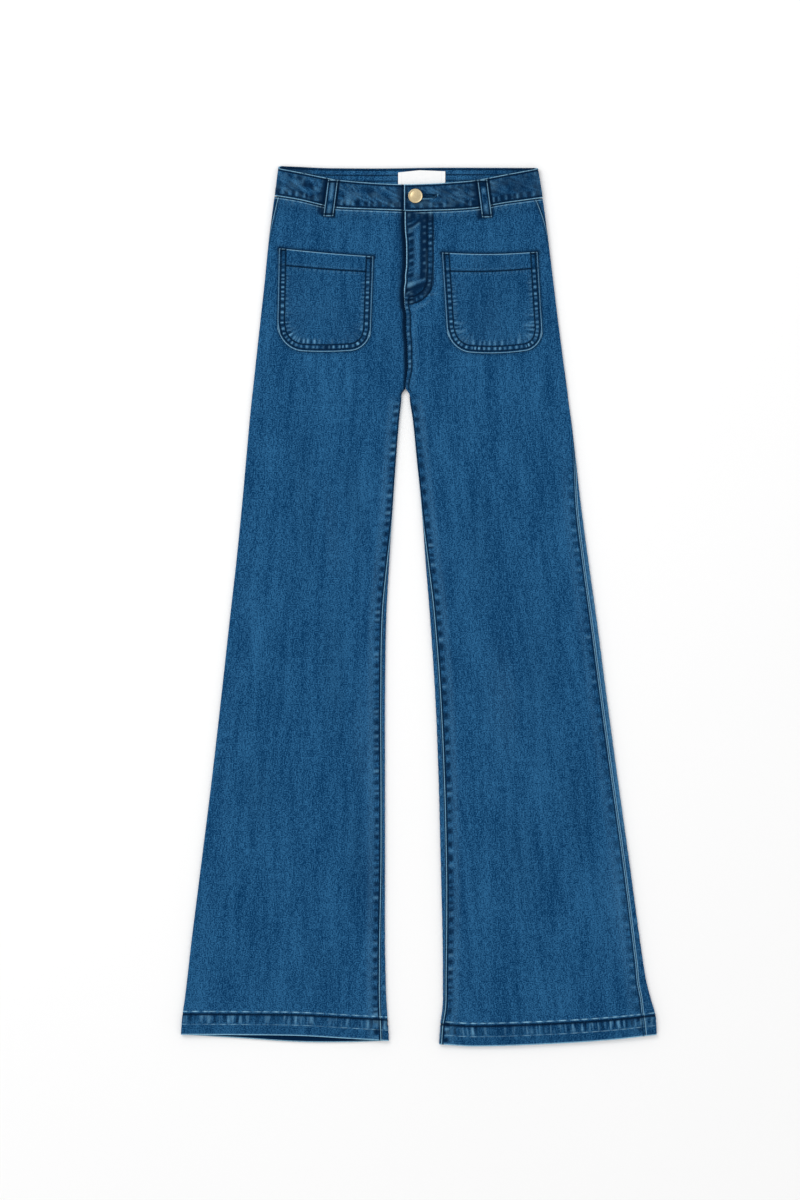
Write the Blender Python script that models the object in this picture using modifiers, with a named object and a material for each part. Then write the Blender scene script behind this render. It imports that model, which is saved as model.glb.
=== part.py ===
"""Flared jeans laid flat with the front up, the waist towards +Y.

Cut and sewn as the real garment is: two fronts and two backs that meet at side, inside-leg
and crotch seams, a waistband that wraps once round and laps under itself at the button, two
patch pockets, belt loops, a fly with its shield and zip, a shank button and a blank label.

All sizes are millimetres until place() turns them into metres. A point of the garment is
(across, down, height): across from the centre front, plus to the wearer's left; down from a
level line at the very top of the waist; height above the floor. Left and right are the wearer's.
"""

import math

import bmesh
import bpy
from mathutils import Vector

MM = 0.001

# ------------------------------------------------------------------ cloth
SEAM_GAP = 0.3          # between pieces at a seam, and between layers that lie on each other
WAIST_GAP = 0.6         # between the waistband and the panels, whose edges are curved
CROTCH_GAP = 0.5        # more room on each side of the inside seams where all four meet
CROTCH_REACH = 25.0
WALL = 1.2              # leg cloth
HEM_WALL = 2.2          # the hem, where the cloth is turned up
HEM_DEPTH = 27.0
BAND_WALL = 1.8         # waistband, outside and inside together
POCKET_WALL = 1.2
POCKET_BAND_WALL = 2.0  # the pocket's turned top edge
POCKET_BAND = 21.0      # its depth
LOOP_WALL = 1.2
LABEL_WALL = 0.8

# ------------------------------------------------------------------ how high the layers lie
LOOP_LIFT = LOOP_WALL + SEAM_GAP    # the waist lies on the back belt loops
LIFT_ENDS = (60.0, 165.0)    # down from here to there the cloth comes back to the floor
LEG_HEIGHT = 4.2                    # top of the front over the leg, both layers and their loft
EDGE_RISE = 0.6                     # a folded edge stands this much higher than the middle
EDGE_FADE = 12.0
WAIST_HEIGHT_END = 125.0            # down to where a front has come down to its own height
HEM_RISE = 0.8
FLY_RISE = 1.1                      # the fly lies on its zip and shield
WAIST_HEIGHT = {"side": 5.7, "right": 4.7, "left": 6.8}    # top of a front at its waist seam
BAND_HEIGHT = {"side": 6.0, "right": 5.0, "left": 7.1}     # top of the waistband
CENTRE_REACH = (38.0, 95.0)         # across, from the centre's height to the side's height

# ------------------------------------------------------------------ the outline
OUTLINE_NAMES = ("down", "right_side", "right_inside", "left_inside", "left_side")
OUTLINE = (
    (1, -158.5, -0.15, 0.15, 165.0),
    (44, -164.0, -0.15, 0.15, 172.0),
    (94, -170.5, -0.15, 0.15, 178.5),
    (144, -175.5, -0.15, 0.15, 184.5),
    (194, -181.0, -0.15, 0.15, 190.5),
    (244, -186.5, -0.15, 0.15, 197.0),
    (281, -190.5, -0.3, 0.3, 202.0),
    (285, -191.0, -4.2, 4.6, 202.5),
    (294, -192.0, -5.2, 5.6, 203.5),
    (319, -194.5, -8.0, 9.5, 207.0),
    (369, -199.0, -12.0, 14.5, 213.0),
    (419, -203.5, -15.5, 19.5, 218.5),
    (494, -211.0, -20.0, 25.0, 228.5),
    (569, -219.5, -24.0, 31.0, 239.0),
    (669, -230.5, -25.5, 37.5, 252.0),
    (769, -242.0, -25.5, 41.5, 265.5),
    (869, -254.5, -25.5, 44.0, 279.5),
    (969, -267.0, -25.5, 46.5, 293.0),
    (1019, -272.5, -24.5, 46.8, 300.5),
    (1044, -275.5, -23.5, 46.5, 306.5),
    (1066, -278.5, -22.0, 43.5, 312.5),
    (1090, -280.5, -20.5, 42.0, 314.0),
)
CROTCH = 281.0          # down to where the four seams meet
HEM = 1090.0            # down to the hem, before each leg's own slope

# How far each seam has turned from the middle of the folded edge onto the front, along the cloth
SEAM_TURN = (
    (40, 6.0, 0.0, 0.0, 10.0),
    (65, 3.6, 0.0, 0.0, 4.5),
    (90, 1.2, 0.0, 0.0, 1.0),
    (115, 0.0, 0.0, 0.0, 0.0),
    (290, 0.0, 0.0, 0.0, 0.0),
    (340, 0.0, 0.0, 0.0, 1.5),
    (410, 0.0, 0.0, 0.4, 6.0),
    (440, 0.0, 0.5, 1.2, 7.5),
    (500, 0.0, 3.6, 4.4, 8.2),
    (560, 0.0, 6.0, 6.6, 8.5),
    (670, 0.0, 6.0, 7.6, 8.5),
    (870, 0.0, 5.8, 8.0, 11.8),
    (995, 0.0, 8.0, 5.0, 14.5),
    (1090, 0.0, 11.0, 4.0, 14.2),
)

# Down to the waistband's edges and to the hems, by the place across
WAIST_NAMES = ("across", "front_top", "front_seam", "back_top", "back_seam")
WAIST = (
    (-165, 4.0, 38.5, 1.3, 38.5),
    (-132, 10.5, 43.2, 2.6, 37.5),
    (-103, 16.5, 50.4, 3.4, 37.0),
    (-85, 20.2, 54.0, 3.9, 37.0),
    (-38, 24.7, 57.2, 4.6, 37.0),
    (-4, 25.6, 57.8, 4.2, 37.0),
    (4, 25.6, 58.0, 4.0, 37.0),
    (34, 23.7, 55.9, 3.8, 37.0),
    (88, 19.5, 51.4, 3.8, 37.0),
    (124, 13.0, 45.3, 3.2, 37.5),
    (171, 4.0, 39.5, 1.8, 39.5),
)
HEM_NAMES = ("across", "front", "back")
HEM_LINE = {
    "right": (
        (-280, 1086.5, 1086.5),
        (-207, 1087.5, 1090.5),
        (-132, 1088.5, 1095.5),
        (-69, 1091.5, 1096.0),
        (-21, 1094.2, 1094.2),
    ),
    "left": (
        (43, 1098.5, 1098.5),
        (87, 1101.0, 1100.0),
        (181, 1098.0, 1097.0),
        (256, 1093.0, 1092.0),
        (314, 1086.5, 1086.5),
    ),
}
WAIST_ROW = 40.0            # the panels' first row, before it follows the waist seam
WAIST_FADE = 150.0          # down to here the rows still follow the waist seam
HEM_FADE = 900.0            # and from here on they follow the hem

# The fly's edge wanders a little from the centre
CENTRE_NAMES = ("down", "across")
CENTRE_FRONT = (
    (57, 1.2),
    (94, 2.2),
    (149, 0.0),
    (165, -2.0),
    (210, -2.0),
    (224, 1.0),
    (255, 1.5),
    (281, 0.0),
)
FLY_END = (150.0, 190.0)    # down, where the fly's height fades out
FLY_WIDTH = (36.0, 62.0)    # across, the same

# ------------------------------------------------------------------ the largest folds, on the fronts
FOLD_NAMES = ("side", "from_across", "from_down", "to_across", "to_down", "bow", "width", "depth")
FOLDS = (
    ("right", -139, 300, -104, 545, 3, 17, -1.0),
    ("right", -104, 500, -70, 800, 4, 18, -1.1),
    ("right", -74, 740, -50, 985, 4, 16, -1.0),
    ("right", -80, 345, -52, 505, 3, 14, -0.9),
    ("right", -121, 330, -84, 560, 3, 16, 0.7),
    ("right", -88, 560, -50, 840, 4, 16, 0.8),
    ("right", -186, 720, -184, 850, 2, 15, -0.7),
    ("right", -110, 960, -95, 1040, 3, 22, -0.6),
    ("left", 88, 380, 96, 560, 3, 18, -0.6),
    ("left", 150, 480, 168, 800, 5, 22, -0.6),
    ("left", 112, 560, 128, 780, 4, 20, 0.7),
    ("left", 205, 700, 222, 900, 3, 20, -0.7),
    ("left", 128, 760, 150, 960, 4, 22, -0.6),
    ("left", 250, 820, 272, 1020, 3, 18, 0.6),
    ("left", 22, 172, 52, 128, 2, 8, 0.6),
    ("left", 14, 196, 62, 244, 4, 11, -0.5),
    ("right", -16, 190, -34, 262, 3, 12, -0.5),
)

# ------------------------------------------------------------------ patch pockets
POCKET_GAP = 0.45
POCKET_NAMES = ("name", "side", "top_in", "top_out", "top_in_down", "top_out_down", "low_in", "low_out",
                "low_down", "corner", "bow")
POCKETS = (
    ("pocket_right", "right", -40.0, -157.8, 115.0, 105.0, -44.0, -160.5, 230.5, 24.0, 3.5),
    ("pocket_left", "left", 45.6, 164.8, 110.4, 109.4, 53.5, 172.5, 232.0, 25.0, 4.0),
)

# ------------------------------------------------------------------ belt loops, label, fly
LOOP_WIDTH = 12.5
LOOP_BELOW = 11.0           # a loop reaches this far below the waist seam
LOOP_TILT = 6.0             # its lower end lies this much nearer the wearer's side
FRONT_LOOPS = (("belt_loop_front_right", "right", -89.0), ("belt_loop_front_left", "left", 95.8))
BACK_LOOPS = (("belt_loop_back_right", -92.0), ("belt_loop_back_centre", 2.0), ("belt_loop_back_left", 98.0))

LABEL = {"from": -9.1, "to": 49.8, "top": 7.1, "bottom": 30.0}

UNDERLAP = 38.0             # the waistband's right end, past the centre
SHIELD = {"from": -14.0, "to": 34.0, "top": 60.0, "bottom": 158.0, "base": 1.5, "wall": 1.0}
ZIP = {"from": 3.2, "to": 27.0, "top": 62.0, "bottom": 150.0, "base": 2.8, "wall": 1.0}

# ------------------------------------------------------------------ button and buttonhole
BUTTON = {"across": 12.4, "down": 40.0, "radius": 8.9, "rim": 0.7, "thick": 2.0, "dome": 0.6, "shank": 3.4}
HOLE = {"clearance": 0.5, "slot_width": 2.0, "slot_end": 37.0}
ROUND_STEPS = 32

# ------------------------------------------------------------------ mesh
EDGE_STEPS = (0.21, 0.9, 2.3, 4.2, 9.0)     # along the cloth from a seam, the columns near it
FLAT_STEPS = 2                              # how many of them lie flat beside the seam
FOLD_STEPS = (3.9, 2.0, 0.0, -2.0, -3.9)    # the same round a folded edge, plus is on top
UNDER_STEPS = (-10.0,)
STEP_LEAST = 0.55
FRONT_MIDDLE = 6
BACK_MIDDLE = 2
ROW_ZONES = ((WAIST_ROW, CROTCH, 9), (CROTCH, 285.0, 1), (285.0, 430.0, 5), (430.0, HEM - HEM_DEPTH, 16))
HEM_STEP = 2.5

COLOURS = {
    "denim": (0.016, 0.088, 0.210),
    "brass": (0.70, 0.53, 0.30),
    "label": (0.85, 0.85, 0.84),
    "zip": (0.02, 0.04, 0.08),
}


# ------------------------------------------------------------------ small helpers
def ease(start, end, value):
    """0 before start, 1 after end, smooth between."""
    part = min(max((value - start) / (end - start), 0.0), 1.0)
    return part * part * (3.0 - 2.0 * part)


def mix(first, second, part):
    return first + (second - first) * part


def read(table, names, name, at):
    """A column of a table at a place between its rows, on a smooth curve through them."""
    column = names.index(name)
    last = len(table) - 1
    if at <= table[0][0]:
        return table[0][column]
    if at >= table[last][0]:
        return table[last][column]
    row = next(i for i in range(last) if at <= table[i + 1][0])

    def slope(i):
        before, after = max(i - 1, 0), min(i + 1, last)
        return (table[after][column] - table[before][column]) / (table[after][0] - table[before][0])

    length = table[row + 1][0] - table[row][0]
    part = (at - table[row][0]) / length
    start, end = table[row][column], table[row + 1][column]
    start_slope, end_slope = slope(row) * length, slope(row + 1) * length
    return (
        (2 * part**3 - 3 * part**2 + 1) * start
        + (part**3 - 2 * part**2 + part) * start_slope
        + (3 * part**2 - 2 * part**3) * end
        + (part**3 - part**2) * end_slope
    )


def outline(name, down):
    return read(OUTLINE, OUTLINE_NAMES, name, down)


def seam_turn(name, down):
    return max(read(SEAM_TURN, OUTLINE_NAMES, name, down), 0.0)


def waist_line(name, across):
    return read(WAIST, WAIST_NAMES, name, across)


def place(point):
    """A garment point in metres, before the whole garment is centred."""
    across, down, height = point
    return Vector((across * MM, -down * MM, height * MM))


# ------------------------------------------------------------------ heights
def lift(down):
    return LOOP_LIFT * (1.0 - ease(*LIFT_ENDS, down))


def crotch_turn(down):
    """0 where the inside edges still meet at the centre, 1 where each leg is folded for itself."""
    return ease(CROTCH - 30.0, CROTCH, down)


def fold_relief(side, across, down):
    """All the folds of one front at a point, each a soft trough or ridge along a bowed line."""
    total = 0.0
    for row in FOLDS:
        fold = dict(zip(FOLD_NAMES, row))
        if fold["side"] != side:
            continue
        start = Vector((fold["from_across"], fold["from_down"]))
        along = Vector((fold["to_across"], fold["to_down"])) - start
        offset = Vector((across, down)) - start
        part = offset.dot(along) / along.length_squared
        if not 0.0 < part < 1.0:
            continue
        aside = (offset.x * along.y - offset.y * along.x) / along.length
        aside -= fold["bow"] * math.sin(math.pi * part)
        total += fold["depth"] * math.sin(math.pi * part) ** 2 * math.exp(-((aside / fold["width"]) ** 2))
    return total


def centre_mix(heights, side, across):
    """From the centre's height to the side's height."""
    return mix(heights[side], heights["side"], ease(*CENTRE_REACH, abs(across)))


def front_height(side, across, down):
    """The outside of a front, and of what a back wraps onto it."""
    edge_distance = abs(outline(side + "_side", down) - across)
    inside_distance = abs(outline(side + "_inside", down) - across)
    height = LEG_HEIGHT
    height += EDGE_RISE * math.exp(-((edge_distance / EDGE_FADE) ** 2))
    height += EDGE_RISE * crotch_turn(down) * math.exp(-((inside_distance / EDGE_FADE) ** 2))
    height += HEM_RISE * ease(HEM - HEM_DEPTH - HEM_STEP, HEM - HEM_DEPTH, down)
    if side == "left":
        fly = (1.0 - ease(*FLY_END, down)) * (1.0 - ease(*FLY_WIDTH, across))
        height += FLY_RISE * fly
    height += fold_relief(side, across, down)
    at_waist = 1.0 - ease(WAIST_ROW, WAIST_HEIGHT_END, down)
    return mix(height, centre_mix(WAIST_HEIGHT, side, across), at_waist) + lift(down)


def band_height(side, across):
    return centre_mix(BAND_HEIGHT, side, across) + LOOP_LIFT


# ------------------------------------------------------------------ surfaces
def surface(name, rows, columns, point_at, wall, thick_at=None, thick_wall=None):
    """An open grid shaped by point_at(row, column), with its wall grown inwards by Solidify.

    Rows run up the garment and columns towards the wearer's left where the piece faces up.
    """
    mesh = bpy.data.meshes.new(name)
    grid = bmesh.new()
    bmesh.ops.create_grid(grid, x_segments=columns - 1, y_segments=rows - 1, size=1.0)
    thick = []
    for vertex in grid.verts:
        column = round((vertex.co.x + 1.0) / 2.0 * (columns - 1))
        row = round((vertex.co.y + 1.0) / 2.0 * (rows - 1))
        vertex.co = place(point_at(row, column))
        if thick_at is not None and thick_at(row, column):
            thick.append(vertex.index)
    grid.to_mesh(mesh)
    grid.free()
    piece = bpy.data.objects.new(name, mesh)
    PARTS.objects.link(piece)
    solidify = piece.modifiers.new("wall", "SOLIDIFY")
    solidify.offset = -1.0
    solidify.use_even_offset = True
    solidify.thickness = wall * MM
    if thick_at is not None:
        group = piece.vertex_groups.new(name="thick")
        group.add(thick, 1.0, "REPLACE")
        solidify.thickness = thick_wall * MM
        solidify.vertex_group = "thick"
        solidify.thickness_vertex_group = wall / thick_wall
    mesh.shade_smooth()
    mesh.set_sharp_from_angle(angle=math.radians(40))
    return piece


def panel_rows():
    """Down to each row of a panel, from the hem up."""
    rows = [HEM, HEM - HEM_DEPTH]
    for start, end, count in reversed(ROW_ZONES):
        top = end - HEM_STEP if end == HEM - HEM_DEPTH else end
        rows += [mix(top, start, step / count) for step in range(0 if top != end else 1, count + 1)]
    return rows


def follow_edges(side, across, down, under):
    """A row's place down after it follows the waist seam at the top and the hem at the bottom."""
    at_waist = 1.0 - ease(WAIST_ROW, WAIST_FADE, down)
    at_hem = ease(HEM_FADE, HEM, down)
    waist = mix(waist_line("front_seam", across), waist_line("back_seam", across), under)
    hem = mix(*(read(HEM_LINE[side], HEM_NAMES, layer, across) for layer in ("front", "back")), under)
    return down + (waist + WAIST_GAP - WAIST_ROW) * at_waist + (hem - HEM) * at_hem


def folded_edge(side, edge_name, down, step):
    """A point of the ring near one of its edges: step is along the cloth from the middle of the fold.

    Where the crotch isn't reached yet the inside edge is no fold, and both layers just end there.
    """
    edge = outline(edge_name, down)
    turn = 1.0
    if edge_name.endswith("inside"):
        turn = crotch_turn(down)
        edge += read(CENTRE_FRONT, CENTRE_NAMES, "across", down) * (1.0 - turn) if step > 0.0 else 0.0
    inwards = 1.0 if edge_name in ("right_side", "left_inside") else -1.0
    bottom = lift(down)
    radius = (front_height(side, edge + inwards * WALL, down) - bottom) / 2.0
    quarter = radius * math.pi / 2.0
    angle = min(max(step / radius, -math.pi / 2.0), math.pi / 2.0)
    reach = mix(abs(step), radius * (1.0 - math.cos(angle)) + max(abs(step) - quarter, 0.0), turn)
    across = edge + inwards * reach
    if step > 0.0:
        top = front_height(side, across, down)
        height = mix(top, top - radius * (1.0 - math.sin(angle)), turn)
    else:
        height = bottom + radius * (1.0 + math.sin(angle)) * turn
    return across, height


def beside_seam(side, edge_name, down, offset):
    """A point beside a seam, plus is on the front. The cloth is flat for a little way on each side of
    the seam, so the two cut edges stand square and parallel there."""
    turned = seam_turn(edge_name, down)
    if edge_name.endswith("inside"):
        offset += math.copysign(CROTCH_GAP * math.exp(-(((down - CROTCH) / CROTCH_REACH) ** 2)), offset)
    way = math.copysign(0.05, offset)
    seam = Vector(folded_edge(side, edge_name, down, turned + way * 0.01))
    beyond = Vector(folded_edge(side, edge_name, down, turned + way))
    across, height = seam + (beyond - seam).normalized() * abs(offset)
    return across, height


def front_panel(side):
    """A front: from the side seam over the top to the inside seam or the centre."""
    rows = panel_rows()
    edges = [side + "_side", side + "_inside"]
    if side == "left":
        edges.reverse()
    near = len(EDGE_STEPS)
    columns = 2 * near + FRONT_MIDDLE

    def near_edge(edge, down, order):
        if order < FLAT_STEPS:
            return beside_seam(side, edge, down, EDGE_STEPS[order])
        return folded_edge(side, edge, down, seam_turn(edge, down) + EDGE_STEPS[order])

    def point_at(row, column):
        down = rows[row]
        if column < near:
            across, height = near_edge(edges[0], down, column)
        elif column >= columns - near:
            across, height = near_edge(edges[1], down, columns - 1 - column)
        else:
            first, last = (near_edge(edge, down, near - 1)[0] for edge in edges)
            across = mix(first, last, (column - near + 1) / (FRONT_MIDDLE + 1))
            height = front_height(side, across, down)
        return across, follow_edges(side, across, down, 0.0), height

    return surface("front_" + side, len(rows), columns, point_at, WALL, lambda row, column: row < 2, HEM_WALL)


def back_steps(turned):
    """The back's columns at one edge, along the cloth from the middle of the fold, seam first."""
    steps = [turned - step for step in EDGE_STEPS[:FLAT_STEPS]]
    for place_round in FOLD_STEPS + UNDER_STEPS:
        steps.append(min(place_round, steps[-1] - STEP_LEAST))
    return steps


def back_panel(side):
    """A back: from its side seam round the folded edge, under the leg and round to the inside seam."""
    rows = list(reversed(panel_rows()))
    edges = [side + "_side", side + "_inside"]
    if side == "left":
        edges.reverse()
    near = len(back_steps(0.0))
    columns = 2 * near + BACK_MIDDLE

    def near_edge(edge, down, order):
        if order < FLAT_STEPS:
            return beside_seam(side, edge, down, -EDGE_STEPS[order])
        return folded_edge(side, edge, down, back_steps(seam_turn(edge, down))[order])

    def point_at(row, column):
        down = rows[row]
        order = min(column, columns - 1 - column)
        if order < near:
            edge = edges[0] if column < near else edges[1]
            across, height = near_edge(edge, down, order)
            under = 1.0 - ease(UNDER_STEPS[-1], FOLD_STEPS[-2], back_steps(seam_turn(edge, down))[order])
        else:
            first, last = (near_edge(edge, down, near - 1)[0] for edge in edges)
            across = mix(first, last, (column - near + 1) / (BACK_MIDDLE + 1))
            height = lift(down)
            under = 1.0
        return across, follow_edges(side, across, down, under), height

    last_rows = len(rows) - 2
    return surface(
        "back_" + side, len(rows), columns, point_at, WALL, lambda row, column: row >= last_rows, HEM_WALL
    )


def waistband_stations():
    """The waistband from its left end round the back to the underlap: (side, place, value) rows.

    place "front" has the share of the way from the centre to the side, "fold" the step round the
    folded edge, "back" the share of the way from the left side to the right, "lap" the place across.
    """
    shares = [step / 8.0 for step in range(9)]
    folds = [3.0, 1.5, 0.0, -1.5, -3.0, -4.6]
    stations = [("left", "front", share) for share in shares]
    stations += [("left", "fold", step) for step in folds]
    stations += [("back", "back", share) for share in shares]
    stations += [("right", "fold", step) for step in reversed(folds)]
    stations += [("right", "front", share) for share in reversed(shares)]
    stations += [("right", "lap", UNDERLAP * share) for share in (0.33, 0.67, 1.0)]
    return stations


def waistband():
    stations = waistband_stations()
    rows = 4
    radius = (BAND_HEIGHT["side"]) / 2.0
    quarter = radius * math.pi / 2.0
    inset = radius + 1.6

    def point_at(row, column):
        side, zone, value = stations[column]
        share = row / (rows - 1)
        down = 20.0
        for _ in range(3):
            across, height, under = band_section(side, zone, value, down)
            top = mix(waist_line("front_top", across), waist_line("back_top", across), under)
            seam = mix(waist_line("front_seam", across), waist_line("back_seam", across), under)
            down = mix(seam, top, share)
        return across, down, height

    def band_section(side, zone, value, down):
        edges = {name: outline(name + "_side", down) for name in ("left", "right")}
        inner = {name: edge - math.copysign(inset, edge) for name, edge in edges.items()}
        if zone == "front":
            centre = SEAM_GAP / 2.0 if side == "left" else 0.0
            across = mix(centre, inner[side], value)
            return across, band_height(side, across), 0.0
        if zone == "lap":
            return value, band_height("right", 0.0), 0.0
        if zone == "back":
            return mix(inner["left"], inner["right"], value), LOOP_LIFT, 1.0
        angle = min(max(value / radius, -math.pi / 2.0), math.pi / 2.0)
        across = edges[side] - math.copysign(radius * (1.0 - math.cos(angle)), edges[side])
        height = LOOP_LIFT + radius * (1.0 + math.sin(angle))
        return across, height, 1.0 - ease(-quarter, quarter, value)

    # Rows run up the garment, and the stations start at the centre on top and go to the wearer's left
    return surface("waistband", rows, len(stations), point_at, BAND_WALL)


def pocket(row):
    """A patch pocket: the front's own points moved out, with a thicker turned top edge."""
    data = dict(zip(POCKET_NAMES, row))
    side = data["side"]
    corner = data["corner"]
    corner_angles = (90.0, 66.0, 44.0, 22.0, 0.0)
    body_shares = (0.0, 0.33, 0.66, 1.0)
    columns = 10

    def down_rows():
        """Share of the height above the corners, or the angle in the corner, from the bottom up."""
        low = [("corner", angle) for angle in corner_angles]
        high = [("body", share) for share in body_shares[1:]]
        return low + high + [("band", 0.0), ("band", 1.0)]

    kinds = down_rows()

    def point_at(row, column):
        kind, value = kinds[row]
        share = column / (columns - 1)
        across_share = share if side == "left" else 1.0 - share
        top = mix(data["top_in_down"], data["top_out_down"], across_share)
        band = top + POCKET_BAND
        bend = data["low_down"] - corner
        if kind == "corner":
            down = bend + corner * math.sin(math.radians(value))
            pull = corner * (1.0 - math.cos(math.radians(value)))
        else:
            pull = 0.0
            down = mix(bend, band + 1.2, value) if kind == "body" else mix(band, top, value)
        down += data["bow"] * math.sin(math.pi * share) * ease(band, data["low_down"], down)
        along = (down - top) / (data["low_down"] - top)
        first = mix(data["top_in"], data["low_in"], along)
        last = mix(data["top_out"], data["low_out"], along)
        outwards = math.copysign(pull, last - first)
        across = mix(first + outwards, last - outwards, across_share)
        wall = POCKET_BAND_WALL if kind == "band" else POCKET_WALL
        return across, down, front_height(side, across, down) + POCKET_GAP + wall

    return surface(
        data["name"], len(kinds), columns, point_at, POCKET_WALL,
        lambda row, column: kinds[row][0] == "band", POCKET_BAND_WALL,
    )


def front_loop(name, side, across):
    """A belt loop on the waistband: level over it, then down onto the front below the seam."""
    top = waist_line("front_top", across) + 0.6
    seam = waist_line("front_seam", across)
    stops = (seam + LOOP_BELOW, seam + 8.0, seam + 5.0, seam + 2.5, seam, mix(seam, top, 0.5), top)
    lean = math.copysign(LOOP_TILT, across)

    def point_at(row, column):
        down = stops[row]
        x = across + (column / 2.0 - 0.5) * LOOP_WIDTH + lean * (down - top) / (stops[0] - top)
        on_front = ease(seam + 0.5, seam + 6.0, down)
        under = mix(band_height(side, x), front_height(side, x, down), on_front)
        under = max(under, front_height(side, x, down))
        return x, down, under + SEAM_GAP + LOOP_WALL

    return surface(name, len(stops), 3, point_at, LOOP_WALL)


def back_loop(name, across):
    """A belt loop on the back, flat between the waist and the floor."""
    top = waist_line("back_top", across) + 0.6
    bottom = waist_line("back_seam", across) + LOOP_BELOW

    def point_at(row, column):
        return across + (column - 0.5) * LOOP_WIDTH, mix(top, bottom, row), 0.0

    return surface(name, 2, 2, point_at, LOOP_WALL)


def flat_strip(name, strip, rows, height_at, wall):
    """A strip that faces up, from its sides and ends."""

    def point_at(row, column):
        down = mix(strip["bottom"], strip["top"], row / (rows - 1))
        return mix(strip["from"], strip["to"], column), down, height_at(down)

    return surface(name, rows, 2, point_at, wall)


# ------------------------------------------------------------------ button
def cutter(name):
    """Hides a cutting tool and keeps it apart from the garment's pieces."""
    tool = bpy.context.object
    tool.name = name
    tool.hide_render = True
    tool.display_type = "WIRE"
    for owner in list(tool.users_collection):
        owner.objects.unlink(tool)
    CUTTERS.objects.link(tool)
    return tool


def buttonhole(band):
    """A keyhole through the waistband's upper layer only: a round end and a slot."""
    low = band_height("right", 0.0) + SEAM_GAP / 2.0
    high = band_height("left", BUTTON["across"]) + 2.0
    middle = (low + high) / 2.0
    radius = BUTTON["shank"] + HOLE["clearance"]
    start = BUTTON["across"] + radius / 2.0
    bpy.ops.mesh.primitive_cylinder_add(
        vertices=20, radius=radius * MM, depth=(high - low) * MM,
        location=place((BUTTON["across"], BUTTON["down"], middle)),
    )
    round_end = cutter("buttonhole_round")
    bpy.ops.mesh.primitive_cube_add(
        size=1.0, location=place(((start + HOLE["slot_end"]) / 2.0, BUTTON["down"], middle)),
        scale=((HOLE["slot_end"] - start) * MM, HOLE["slot_width"] * MM, (high - low) * MM),
    )
    slot = cutter("buttonhole_slot")
    for tool in (round_end, slot):
        cut = band.modifiers.new(tool.name, "BOOLEAN")
        cut.operation = "DIFFERENCE"
        cut.object = tool


def button():
    """A shank button, turned: domed face, rolled rim, and the shank down to the underlap."""
    seat = band_height("right", 0.0) + SEAM_GAP
    under = band_height("left", BUTTON["across"]) + SEAM_GAP
    edge, rim, top = BUTTON["radius"], BUTTON["rim"], under + BUTTON["thick"]
    profile = (
        (0.0, top + BUTTON["dome"] - 0.35),
        (edge * 0.45, top + BUTTON["dome"] - 0.5),
        (edge * 0.72, top - 0.1),
        (edge * 0.82, top),
        (edge - rim * 0.4, top - rim * 0.3),
        (edge, top - rim),
        (edge, under + rim),
        (edge - rim * 0.5, under + rim * 0.15),
        (edge - rim * 1.5, under),
        (BUTTON["shank"], under),
        (BUTTON["shank"], seat),
        (0.0, seat),
    )
    mesh = bpy.data.meshes.new("button")
    mesh.from_pydata([(x * MM, 0.0, z * MM) for x, z in profile],
                     [(i, i + 1) for i in range(len(profile) - 1)], [])
    piece = bpy.data.objects.new("button", mesh)
    PARTS.objects.link(piece)
    piece.location = place((BUTTON["across"], BUTTON["down"], 0.0))
    turned = piece.modifiers.new("turned", "SCREW")
    turned.steps = turned.render_steps = ROUND_STEPS
    turned.use_merge_vertices = True
    turned.merge_threshold = 0.00005
    return piece


# ------------------------------------------------------------------ finish
def finish(name, roughness, metallic):
    material = bpy.data.materials.new(name)
    material.use_nodes = True
    shader = material.node_tree.nodes["Principled BSDF"]
    shader.inputs["Base Color"].default_value = (*COLOURS[name], 1.0)
    shader.inputs["Roughness"].default_value = roughness
    shader.inputs["Metallic"].default_value = metallic
    return material


def centre_on_floor():
    """Moves everything so that the garment's box stands on the origin by its bottom's middle."""
    bpy.context.view_layer.update()
    shapes = bpy.context.evaluated_depsgraph_get()
    corners = []
    for piece in PARTS.objects:
        evaluated = piece.evaluated_get(shapes)
        corners += [evaluated.matrix_world @ Vector(corner) for corner in evaluated.bound_box]
    low = Vector([min(corner[axis] for corner in corners) for axis in range(3)])
    high = Vector([max(corner[axis] for corner in corners) for axis in range(3)])
    shift = Vector(((low.x + high.x) / 2.0, (low.y + high.y) / 2.0, low.z))
    for thing in list(PARTS.objects) + list(CUTTERS.objects):
        thing.location -= shift


for leftover in list(bpy.data.objects):
    bpy.data.objects.remove(leftover)

PARTS = bpy.data.collections.new("flared_jeans")
CUTTERS = bpy.data.collections.new("cutters")
for collection in (PARTS, CUTTERS):
    bpy.context.scene.collection.children.link(collection)

cloth = [front_panel(side) for side in ("right", "left")]
cloth += [back_panel(side) for side in ("right", "left")]
band = waistband()
buttonhole(band)
cloth.append(band)
cloth += [pocket(row) for row in POCKETS]
cloth += [front_loop(*row) for row in FRONT_LOOPS]
cloth += [back_loop(*row) for row in BACK_LOOPS]
cloth.append(flat_strip("fly_shield", SHIELD, 9, lambda down: lift(down) + SHIELD["base"] + SHIELD["wall"],
                        SHIELD["wall"]))
zip_tape = flat_strip("zip", ZIP, 9, lambda down: lift(down) + ZIP["base"] + ZIP["wall"], ZIP["wall"])
label = flat_strip("label", LABEL, 2, lambda down: LOOP_LIFT + BAND_WALL + SEAM_GAP + LABEL_WALL, LABEL_WALL)
fastener = button()

finishes = {
    "denim": (finish("denim", 0.85, 0.0), cloth),
    "brass": (finish("brass", 0.32, 1.0), [fastener]),
    "label": (finish("label", 0.6, 0.0), [label]),
    "zip": (finish("zip", 0.7, 0.0), [zip_tape]),
}
for material, pieces in finishes.values():
    for piece in pieces:
        piece.data.materials.append(material)

centre_on_floor()
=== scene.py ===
import math

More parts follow.
